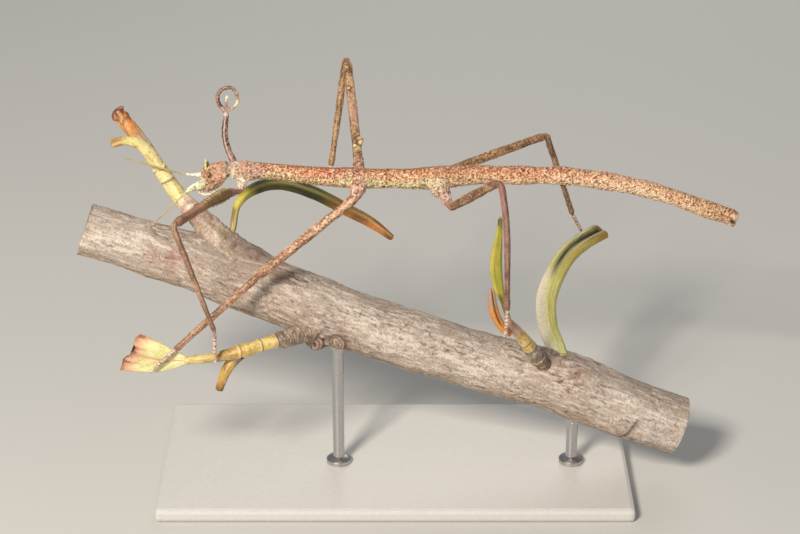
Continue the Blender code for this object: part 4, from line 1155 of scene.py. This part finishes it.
# Points and half sizes of the young shoots, colours by the distance along them, dark rings
# (distance, width, colour) and the wrinkled stretch.
SHOOTS = {
    "shoot_upper": {
        "points": [(-42.6, -4.0, -29.0), (-45.0, -3.2, -23.2), (-49.0, -1.8, -17.2),
                   (-52.6, 0.4, -12.8), (-56.8, 2.6, -9.2), (-60.4, 3.9, -5.0),
                   (-64.2, 5.2, 0.7), (-67.6, 6.2, 6.0), (-71.4, 7.0, 11.2),
                   (-75.0, 7.8, 15.9)],
        "sizes": [6.0, 6.9, 4.6, 3.1, 2.5, 2.2, 1.95, 1.9, 1.95, 2.0],
        "colours": [(0, "b8a08a"), (17, "bda490"), (21.5, "a58a76"), (22.6, "4c3325"),
                    (23.6, "5a3d2c"), (24.2, "e0c2b0"), (27, "ead2b4"), (29, "f0dc98"),
                    (42, "eed890"), (44, "c4a890"), (48, "c9a083"), (50, "d9a060"), (53, "d58a45"),
                    (55.5, "c07a3c"), (57, "8a4a28")],
        "rings": [(34.0, 0.45, "76703c"), (37.8, 0.4, "7b4a2a")], "wrinkled": (0, 22),
        "folds": 0.25},
    "petiole_upper": {
        "points": [(-64.0, 5.0, 0.4), (-66.2, 4.9, 4.4), (-69.2, 4.2, 7.9), (-72.6, 3.4, 9.2),
                   (-76.2, 2.6, 8.7)],
        "sizes": [1.75, 1.75, (1.5, 1.4), (1.5, 1.1), (1.9, 0.8)],
        "colours": [(0, "f0dc98"), (8, "eede94"), (13, "e2d488"), (15, "c9a060")]},
    "shoot_lower": {
        "points": [(-18.5, -7.0, -41.0), (-24.6, -12.0, -41.0), (-28.2, -15.2, -40.8),
                   (-32.0, -17.8, -40.5), (-37.0, -20.2, -41.0), (-41.6, -22.5, -41.4),
                   (-48.7, -25.0, -41.9), (-56.0, -26.0, -42.3)],
        "sizes": [2.4, 2.5, 2.35, 1.95, 1.75, 1.9, 1.3, 1.1],
        "colours": [(0, "8b7563"), (16.5, "a48c79"), (17.5, "8a6c55"), (18.2, "d6b36d"),
                    (20, "e6ca78"), (27.5, "dfc06a"), (29, "cfa558"), (30.5, "c29a5c"),
                    (33.5, "c8a663"), (35, "d6b96c"), (43, "dcc880")],
        "rings": [(22.2, 0.4, "7b4a2a"), (28.2, 0.35, "b08448"), (17.4, 0.3, "5d4433")],
        "wrinkled": (2, 17)},
    "fork_lower": {
        "points": [(-41.9, -22.4, -42.4), (-44.4, -22.2, -45.4), (-46.4, -22.0, -49.2),
                   (-47.6, -22.0, -53.0)],
        "sizes": [1.7, 1.5, 1.3, 1.1],
        "colours": [(0, "8f6f66"), (1.6, "a5826a"), (3, "cda655"), (9, "c49a4a"),
                    (12, "8a5c30")]},
    "shoot_right": {
        "points": [(43.0, -6.5, -55.1), (39.5, -10.6, -49.9), (36.9, -15.2, -44.2),
                   (33.8, -19.8, -37.9), (31.2, -22.6, -33.8), (29.8, -23.8, -30.9)],
        "sizes": [2.2, 2.0, 1.9, 1.55, 1.3, 0.8],
        "colours": [(0, "84604a"), (9, "8f6a52"), (12.5, "a58d7b"), (14.8, "d8ccc0"),
                    (15.8, "8f745e"), (16.6, "ddb357"),
                    (19, "e3bc5f"), (21.0, "e8c878"), (24.5, "e0b455"), (27, "dcb7a0"),
                    (29.3, "c99a80")],
        "rings": [(19.8, 0.5, "6c471d"), (16.2, 0.3, "6c4a35"), (8.5, 0.5, "59402f")],
        "wrinkled": (3, 16)},
}
BUD_RIGHT = [(30.2, -24.4, -35.1), (27.7, -25.0, -31.6), (26.1, -25.2, -27.4),
             (25.5, -25.2, -22.5)]
LEAFLET_RIGHT = [(30.4, -21.6, -32.5), (29.0, -20.4, -27.9), (27.6, -19.8, -23.2),
                 (26.9, -19.6, -16.6), (27.8, -20.0, -3.5)]
LEAF_CURVED = [(45.2, -8.2, -53.6), (45.2, -4.4, -51.8), (44.6, 1.0, -51.0), (43.0, 7.0, -48.1),
               (42.9, 14.0, -43.8), (45.6, 22.0, -39.8), (49.5, 29.8, -37.1),
               (54.6, 36.6, -35.7), (60.3, 42.4, -35.0)]
LEAF_REAR = [(-46.2, -1.6, -20.5), (-44.2, -0.6, -15.0), (-43.2, 4.4, -10.4), (-39.4, 10.4, -8.2),
             (-32.0, 17.0, -9.0), (-22.3, 21.8, -14.2), (-13.9, 22.8, -19.4),
             (-7.4, 22.0, -22.8), (-1.2, 20.0, -26.8)]
LEAF_REAR_SIZES = [(0.9, 0.9), (0.9, 0.9), (1.0, 1.1), (0.8, 1.9), (0.8, 2.1), (0.8, 2.1),
                   (0.8, 1.9), (0.6, 1.0)]
LEAF_LOWER_EDGES = (
    [(-55.4, -43.3), (-59.8, -44.8), (-63.8, -45.8), (-69.6, -45.7), (-75.2, -45.0)],
    [(-55.4, -41.4), (-58.6, -39.4), (-61.6, -37.5), (-65.2, -35.5), (-68.8, -33.9)])
LEAF_LOWER_PLACE = (-56.0, -25.9, 0.02)    # x and y of its stalk's end, and its slant


def spot_on(q, x, degrees, size, drawn_out=1.0):
    """Distance from a place on the branch, in sizes."""
    return np.hypot((q.p[:, 0] - x) / (size * drawn_out), q.turned(degrees) * q.radius / size)


def paint_bark(q):
    """Grey-tan bark with lengthwise fissures that part round the knots; sawn ends with rings."""
    lay, lift = q.lay, np.sin(q.angle)
    shift, swell, near_knot = np.zeros((3, len(q.p)))
    for x, degrees, size, height in KNOTS:
        away = spot_on(q, x, degrees, size, 1.5)
        shift -= 0.75 * q.turned(degrees) * np.exp(-away ** 2)
        swell += height * np.exp(-1.5 * away ** 2)
        near_knot += np.exp(-2.2 * away ** 2)
    turned = q.angle + shift
    core = np.stack([0 * q.along, np.cos(turned) * q.radius, np.sin(turned) * q.radius], axis=1)
    core += 0.5 * np.stack([noise(q.p, 5.0, s) for s in (201, 202, 203)], axis=1)

    def fibres(length, width, layers, seed):
        return rough(core / width + np.outer(q.along / length, (1, 0, 0)), 1.0, layers, seed)
    coarse = fibres(7.0, 1.3, 2, 211)
    fine = fibres(3.2, 0.5, 2, 221)
    broad = rough(q.p, 9.0, 3, 231)
    crack = bell(coarse, 0.05, 0.07) * ramp(fibres(9.0, 3.0, 1, 241) + 0.6 * near_knot, -0.3, 0.25)
    thin = bell(fine, 0.0, 0.12)
    flecks = ramp(fibres(1.8, 0.7, 3, 251), 0.62, 0.8) * ramp(noise(q.p, 5.0, 255), -0.3, 0.3)
    dots = ramp(noise(q.p, 0.34, 257), 0.5, 0.66)

    q.start("b5a294", "ccbbac", 0.5 + 0.7 * broad)
    lay("9c8f7f", 0.6 * ramp(lift, 0.5, 1.0))
    lay("a38c6c", 0.6 * ramp(-lift, 0.2, 0.9))
    for x, degrees, size in PALE_PATCHES:
        lay("dccfc2", 0.75 * np.exp(-spot_on(q, x, degrees, size, 1.4) ** 2))
    patchy = ramp(rough(q.p, 1.6, 2, 261), -0.5, 0.5)
    for x, degrees, size, code in STAINS:
        lay(code, 0.8 * patchy * np.exp(-spot_on(q, x, degrees, size, 1.3) ** 2))
    lay("e9ddd0", 0.4 * ramp(fine, 0.12, 0.6))
    lay("8d7764", 0.42 * ramp(-fine, 0.15, 0.6))
    lay("4e3c31", 0.62 * crack + 0.42 * thin * ramp(broad, -0.6, 0.2))
    lay("7a4a36", 0.65 * flecks)
    lay("5b463a", 0.45 * dots)
    relief = swell + 0.42 * broad + 0.12 * coarse + 0.09 * fine - 0.3 * crack - 0.12 * thin
    relief += 0.10 * flecks - 0.06 * dots
    uneven = 0.5 * rough(q.p, 2.0, 2, 265)
    for x, degrees, size in SCARS:
        away = spot_on(q, x, degrees, size)
        coil = wave(2.1 * away + uneven)
        scar = 1 - ramp(away, 1.15, 1.5)
        relief += scar * (0.3 * coil - 0.15) + 0.3 * bell(away, 1.2, 0.3)
        coiled = mix(hue("b79c86"), hue("4b3229"), 0.9 * ramp(-coil, -0.6, -0.15))
        q.tint = mix(q.tint, coiled, 0.85 * scar)
        lay("46302a", 0.8 * bell(away, 1.35, 0.16))
    below = (q.angle % (2 * np.pi) - math.radians(170)) / math.radians(75)
    collar = bell(q.p[:, 0], 67.5 - 6.0 * below, 0.45) * ramp(below, -0.15, 0.1) \
        * (1 - ramp(below, 1.0, 1.3))
    lay("5c4636", 0.8 * collar)

    wood = 1 - ramp(q.cut, 0.93, 0.99)
    rings = 0.5 + 0.5 * np.sin(q.cut * 34 + 1.2 * noise(q.p, 3.0, 271))
    timber = mix(hue("d8bd92"), hue("a98355"), 0.75 * rings ** 2)
    split = bell(noise(np.outer(q.angle * 9, (1, 0, 0)), 1.0, 281), 0, 0.12)
    timber = mix(timber, hue("8a6238"), 0.7 * split)
    timber = mix(timber, hue("6b4526"), 1 - ramp(q.cut, 0.05, 0.14))
    q.tint = mix(q.tint, timber, wood)
    lay("5d4030", bell(q.cut, 0.955, 0.02))
    q.relief = (relief - 0.45 * collar) * (1 - wood) + 0.02 * rings * wood
    q.speckle = 0.6 * (1 - wood)


def paint_shoot(q):
    """Young shoot: colours, scars and wrinkles along it as its table says."""
    facts, run, lay = SHOOTS[q.name], q.along, q.lay
    waver = run + 0.5 * noise(q.p, 2.2, 301)
    q.tint = by_place(waver, facts["colours"])
    streak = rough(stretched(q, 3.5, 0.7), 1.0, 3, 311)
    q.dim(0.62, 0.7 * ramp(streak, 0.1, 0.7))
    lay("f6e8bb", 0.35 * ramp(-streak, 0.1, 0.7))
    lay("8a5a34", 0.5 * ramp(rough(q.p, 0.7, 2, 331), 0.55, 0.8))
    q.relief = 0.05 * streak + 0.10 * rough(q.p, 1.6, 3, 321)
    if "wrinkled" in facts:
        first, last = facts["wrinkled"]
        stub = ramp(run, first - 1, first + 0.5) * (1 - ramp(run, last - 0.3, last + 0.3))
        fold = np.sin((run + 0.6 * noise(q.p, 1.8, 341)) * 2 * np.pi / 0.95)
        fold = facts.get("folds", 1) * fold
        rind = rough(stretched(q, 1.2, 1.6), 1.0, 3, 351)
        grit = granules(q.p, 0.8, 345)
        lay("5e4a3c", stub * (0.35 * ramp(-fold, 0.3, 0.9) + 0.35 * ramp(rind, 0.2, 0.6)))
        lay("d0bdab", stub * 0.5 * ramp(-rind, 0.1, 0.6))
        lay("5f4a3a", 0.3 * stub * (1 - ramp(grit, 0.0, 0.3)))
        q.relief += stub * (0.10 * fold + 0.2 * rind + 0.15 * grit)
    for place, width, code in facts.get("rings", ()):
        near = bell(waver, place, width * 0.55)
        lay(code, 0.9 * near)
        lay("efe0bb", 0.6 * bell(waver, place + width * 1.3, width * 0.5))
        q.relief += 0.12 * bell(waver, place + width * 1.1, width * 0.7) - 0.10 * near
    if q.name == "shoot_upper":
        torn = ramp(run, 51.0, 56.0)
        lay("6e3a1e", 0.8 * torn * ramp(noise(q.p, 0.8, 371), 0.1, 0.5))
        q.relief += torn * (0.6 * noise(q.p, 1.3, 361) - 0.1) - 0.35 * bell(run, 23.1, 0.7)
    q.speckle = 0.5


def paint_leaf(base, pale, dark, tip, veins, seam=(0.25, 0.12, 0.4), gape=0.28):
    """Painter for a folded leaf: lengthwise veins, a tip of another colour and a dark seam of
    painted shade where the fold opens.

    seam is its place round the leaf and the shares of the length over which it opens,
    and gape its width at the tip.
    """
    def paint(q):
        lines = np.sin(q.angle * 2 * veins + 0.6 * noise(q.p, 4.0, 401))
        mottle = rough(stretched(q, 5.0, 1.0), 1.0, 3, 411)
        q.start(base, pale, 0.5 - 0.5 * np.cos(q.angle) + 0.3 * mottle)
        q.lay(dark, 0.35 * ramp(lines, 0.6, 1.0) + 0.25 * ramp(mottle, 0.3, 0.8))
        ripe = ramp(q.share + 0.05 * mottle, *tip[1])
        q.lay(tip[0], ripe * (0.75 + 0.25 * mottle))
        opened = ramp(q.share, *seam[1:])
        crease = bell(q.angle, seam[0] + 0.05 * mottle, gape * (0.5 + 0.5 * opened)) * opened
        # painted shade: the opened seam is darkened to a third of the dark colour
        q.tint = mix(q.tint, hue(dark) * 0.3, 0.95 * crease)
        q.relief = 0.05 * lines + 0.06 * mottle - crease * (0.45 + 0.9 * ramp(q.share, 0.7, 1.0))
    return paint


def paint_leaf_curved(q):
    """Curved leaf: frosted green with a mauve outer edge, split at its tip by a dark seam of
    painted shade.
    """
    angle, share = q.angle, q.share
    paint_leaf("d2ca70", "ddd592", "8f8c3a", ("8a5a24", (0.86, 1.0)), 4,
               (-1.75, 0.45, 0.7), 0.34)(q)
    grains = granules(q.p, 0.6, 413)
    outer = np.cos(angle - math.radians(215)) * (1 - ramp(share, 0.5, 0.72))
    q.lay("e2d6c6", 0.75 * ramp(outer + 0.2 * noise(q.p, 3.0, 415), 0.45, 0.95))
    q.lay("ece8ae", 0.35 * ramp(grains, 0.4, 0.9) * (1 - ramp(share, 0.4, 0.7)))
    # painted shade: a near-black line along the open seam
    q.lay("241c0c", 0.9 * bell(angle, -1.75, 0.2) * ramp(share, 0.5, 0.72))
    ripe = ramp(share, 0.5, 0.75) * ramp(angle, -1.6, -1.0) * (1 - ramp(angle, 0.2, 0.9))
    q.lay("b3913a", 0.6 * ripe)
    q.relief += 0.05 * grains


def paint_leaf_rear(q):
    """Rear leaf: tan stalk, bright yellow neck, a dark olive middle that is painted shadow, and
    orange-brown tip.
    """
    mottle = rough(stretched(q, 6.0, 1.0), 1.0, 3, 421)
    # painted shadow: the dark olive colours from 22 to 44 along the leaf stand for the insect's
    # shadow on it
    q.tint = by_place(q.along, [(0, "a8935a"), (11, "b9a45c"), (13, "dcca52"), (18, "cfc044"),
                                (22, "66651f"), (44, "575517"), (50, "a8752e"), (64, "bd7034")])
    q.dim(0.55, ramp(mottle, 0.0, 0.7))
    rib = bell(np.abs(q.angle), np.pi, 0.25)
    q.lay("dccb7a", 0.5 * rib)
    q.relief = 0.07 * mottle + 0.12 * rib


def make_branch(bark):
    """The cut length of branch."""
    x = np.linspace(BRANCH[0][0], BRANCH[-1][0], 520)
    height, radius = read(BRANCH, x)
    line = np.stack([x, np.full(len(x), BRANCH_Y), height], axis=1)
    rims = tuple(np.concatenate([[0.985, 0.965, 0.95, 0.93], np.linspace(0.88, 0.03, 18)]))
    grid = Grid(Tube("branch", line, radius, radius), 168, (0.03, 0.03), rims)
    dress(grid, paint_bark, bark, ["branch"], 75)


def make_perch():
    """Branch, shoots, buds and leaves."""
    make_branch(tinted("bark", 0.78, 0.35, 0.05, (0.5, 0.58, "6a4a35", 0.6)))
    rind = tinted("shoot_rind", 0.5, 0.3, 0.02, (0.5, 0.6, "7a4f2c", 0.5),
                  Coat_Weight=0.2, Coat_Roughness=0.35)
    leaf = tinted("leaf_blade", 0.45, 0.35, 0.015, (0.6, 0.62, "7a6a2c", 0.5),
                  Coat_Weight=0.25, Coat_Roughness=0.3)

    def green(name, points, sizes, step, sides, bulge, painter, finish=leaf, up=(0, 0, 1)):
        grow(name, points, sizes, step, sides, bulge, painter, finish, [name], up)
    for name, facts in SHOOTS.items():
        green(name, facts["points"], facts["sizes"], 0.2, 56, (0, 0.3), paint_shoot, rind)
    green("bud_right", BUD_RIGHT, [1.0, 1.25, 1.3, 0.9], 0.15, 48, (0.8, 1.2),
          paint_leaf("e0963a", "b98a72", "9a5a24", ("a8927e", (0.6, 0.9)), 3))
    green("leaflet_right", LEAFLET_RIGHT,
          [(0.7, 0.7), (0.7, 0.6), (1.4, 0.6), (1.7, 0.6), (0.5, 0.4)], 0.15, 56, (0.5, 1),
          paint_leaf("8d8a2c", "c2b44c", "4a4212", ("5c5a20", (0.86, 1.0)), 3), up=(0, 1, 0))
    green("leaf_curved", LEAF_CURVED,
          [(2.7, 1.5), (2.8, 1.5), (2.9, 1.5), (2.9, 1.5), (3.0, 1.2)], 0.2, 96, (0, 0.8),
          paint_leaf_curved, up=(0, 1, 0))
    green("leaf_rear", LEAF_REAR, LEAF_REAR_SIZES, 0.2, 64, (0, 1), paint_leaf_rear)
    make_leaf_lower(leaf)


def make_leaf_lower(finish):
    """Eaten leaf at the lower shoot's tip: a thin fan with a pink midrib and a ragged edge."""
    rows, sides = 90, 160
    turn = 2 * np.pi * np.arange(sides) / sides
    across = (1 - np.cos(turn)) / 2
    u = np.linspace(0, 1, rows)
    low, high = (curve(edge, 0.1) for edge in LEAF_LOWER_EDGES)
    low, high = (np.stack([along(e[:, 0], u), along(e[:, 1], u)], axis=1) for e in (low, high))
    edge = np.outer(across * 9, (1, 0, 0))
    bite = 0.07 + 0.07 * noise(edge, 1.0, 431) + 0.04 * noise(edge, 0.3, 432) \
        + 0.05 * bell(across, 0.62, 0.14)
    column = u[:, None]
    reach = column * (1 - bite * ramp(column, 0.6, 1))
    x, z = [np.interp(reach, u, low[:, k]) * (1 - across) + np.interp(reach, u, high[:, k]) * across
            for k in range(2)]
    x0, y0, slant = LEAF_LOWER_PLACE
    rib = bell(across, 0.46, 0.045)
    thick = 0.30 * np.sin(turn) * (0.35 + 0.65 * (1 - column ** 3)) \
        - 0.22 * rib * np.sign(np.pi - turn)
    swing = 0.5 * np.sin(across * np.pi * 2 + 0.6) * column ** 2
    y = y0 + slant * (x - x0) - thick + swing
    template = swept("leaf_lower", [(0, 0, 0), (9, 0, 0), (18, 0, 0)], [1.0, 1.0, 1.0],
                     18 / (rows - 9))
    grid = Grid(template, sides)
    pick = np.linspace(0, rows - 1, grid.rows)
    layers = [np.stack([np.interp(pick, np.arange(rows), f[:, k]) for k in range(sides)], axis=1)
              for f in (x, y, z)]
    grid.p = np.stack(layers, axis=2).reshape(-1, 3)
    grid.share = np.repeat(pick / (rows - 1), sides)
    grid.across = np.tile(across, grid.rows)
    dress(grid, paint_fan, finish, ["leaf_lower"])


def paint_fan(q):
    """Pale yellow-green blade, pinkish midrib and side veins, brown eroded edge."""
    share, across, lay = q.share, q.across, q.lay
    mottle = rough(q.p, 1.5, 3, 441)
    veins = np.sin((share * 9 - np.abs(across - 0.46) * 7) * np.pi)
    streak = noise(np.outer(across * 14, (1, 0, 0)), 1.0, 451)
    q.start("ece4aa", "d9d68c", 0.5 + 0.6 * mottle)
    lay("f2e6b4", 0.5 * ramp(veins, 0.7, 1.0))
    lay("d9a184", 0.85 * bell(across, 0.46, 0.05))
    lay("d99a80", 0.85 * ramp(share + 0.16 * streak, 0.62, 0.92))
    lay("8a4a34", 0.9 * ramp(share + 0.14 * streak + 0.06 * mottle, 0.85, 1.03))
    rim = ramp(np.abs(across - 0.5), 0.46, 0.5)
    lay("9c7c49", 0.7 * rim)
    q.relief = 0.03 * mottle + 0.04 * veins * (1 - rim)


# ---------------------------------------------------------------- display stand
BASE_SIZE = (132.0, 62.0, 4.0)
ROD_RADIUS = 1.6
ROD_PLACES = {"front": -16.0, "back": 50.0}


def make_stand():
    """Painted base with rounded edges, and two steel rods with a collar and a seat."""
    paint = painted("stand_paint", (0.66, 0.64, 0.6), 0.42)
    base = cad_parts["stand_base"]
    base.data.materials.clear()
    base.data.materials.append(paint)
    steel = painted("stand_steel", (0.55, 0.55, 0.56), 0.3, Metallic=1.0)
    for name, x in ROD_PLACES.items():
        height, radius = read(BRANCH, np.array([x]))
        top = height[0] - radius[0]
        foot = BASE_SIZE[2] - BODY_HEIGHT
        profile = [(foot, 3.2), (foot + 0.3, 3.5), (foot + 1.2, 3.5), (foot + 1.6, 3.1),
                   (foot + 2.2, 1.7), (foot + 3.0, ROD_RADIUS), (top - 2.6, ROD_RADIUS),
                   (top - 1.6, 2.1), (top - 0.2, 3.0), (top + 0.9, 3.0)]
        line = [(x, BRANCH_Y, z) for z, _ in profile]
        size = [r for _, r in profile]
        rod = Grid(Tube("stand_rod_" + name, line, size, size, (1, 0, 0)), 48)
        dress(rod, plain("8c8c8e", "97979a", "a4a4a6", lumps=0), steel,
              ["stand_rod_" + name], 35)


def painted(name, colour, roughness, **principled):
    """Plain finish of one colour with a faint unevenness in its gloss and surface."""
    material, tree, shader = blank(name, **principled)
    place = add(tree, "ShaderNodeTexCoord").outputs["Object"]
    fine = add(tree, "ShaderNodeTexNoise", Vector=place, Scale=900.0, Detail=3).outputs["Fac"]
    shade = span(tree, fine, 0.3, 0.7, 0.96, 1.03)
    finish_off(tree, shader, blend(tree, "MULTIPLY", 1.0, (*colour, 1), shade), fine,
               (0.3, 0.7, roughness - 0.05, roughness + 0.06), 0.3, 0.02)
    return material


# ---------------------------------------------------------------- stage, light and camera
def make_stage():
    """Plain pale floor."""
    bpy.ops.mesh.primitive_plane_add(size=4.0, location=(0, 0, 0))
    floor = bpy.context.active_object
    floor.name = "floor"
    material, _, shader = blank("floor_paint", Roughness=0.8, Specular_IOR_Level=0.2)
    shader.inputs["Base Color"].default_value = (0.62, 0.61, 0.58, 1)
    floor.data.materials.append(material)


def area_light(name, place, target, size, power, colour):
    """Soft square lamp; place and target are metres."""
    lamp = bpy.data.lights.new(name, "AREA")
    lamp.size, lamp.energy, lamp.color = size, power, colour
    made = bpy.data.objects.new(name, lamp)
    made.location = place
    made.rotation_euler = (Vector(target) - Vector(place)).to_track_quat("-Z", "Y").to_euler()
    bpy.context.scene.collection.objects.link(made)


def make_lights():
    """Warm key from the upper left, cool fill from the right, and an even sky."""
    middle = (0, 0, 0.07)
    area_light("key", (-0.32, -0.62, 0.6), middle, 0.18, 8.6, (1.0, 0.93, 0.83))
    area_light("fill", (0.7, -0.5, 0.35), middle, 0.7, 0.7, (0.92, 0.96, 1.0))
    area_light("rim", (0.15, 0.7, 0.55), middle, 0.5, 1.6, (1.0, 0.98, 0.94))
    world = bpy.data.worlds.new("sky")
    world.use_nodes = True
    world.node_tree.nodes["Background"].inputs["Color"].default_value = (0.9, 0.93, 1.0, 1)
    world.node_tree.nodes["Background"].inputs["Strength"].default_value = 0.22
    bpy.context.scene.world = world


CAMERA_LENS = 100.0
CAMERA_TILT = 25.0
CAMERA_DISTANCE = 600.0
CAMERA_AIM = (1.35, -24.3)       # from the body's reference point, to the right and upwards


def make_camera():
    """Camera at the left side, looking down at the insect."""
    camera = bpy.data.cameras.new("camera")
    camera.lens, camera.sensor_width = CAMERA_LENS, 36.0
    camera.clip_start = 0.01
    made = bpy.data.objects.new("camera", camera)
    tilt = math.radians(CAMERA_TILT)
    look = np.array([0, math.cos(tilt), -math.sin(tilt)])
    over = np.array([0, math.sin(tilt), math.cos(tilt)])
    aim = np.array([CAMERA_AIM[0], 0, BODY_HEIGHT]) + over * CAMERA_AIM[1]
    made.location = (aim - look * CAMERA_DISTANCE) * MM
    made.rotation_euler = (math.radians(90) - tilt, 0, 0)
    bpy.context.scene.collection.objects.link(made)
    bpy.context.scene.camera = made


def main():
    """Build every piece around the frame."""
    feet = make_skin()
    make_head_parts()
    make_claws(feet)
    make_perch()
    make_stand()
    make_stage()
    make_lights()
    make_camera()
    bpy.context.scene.view_settings.view_transform = "Standard"


main()
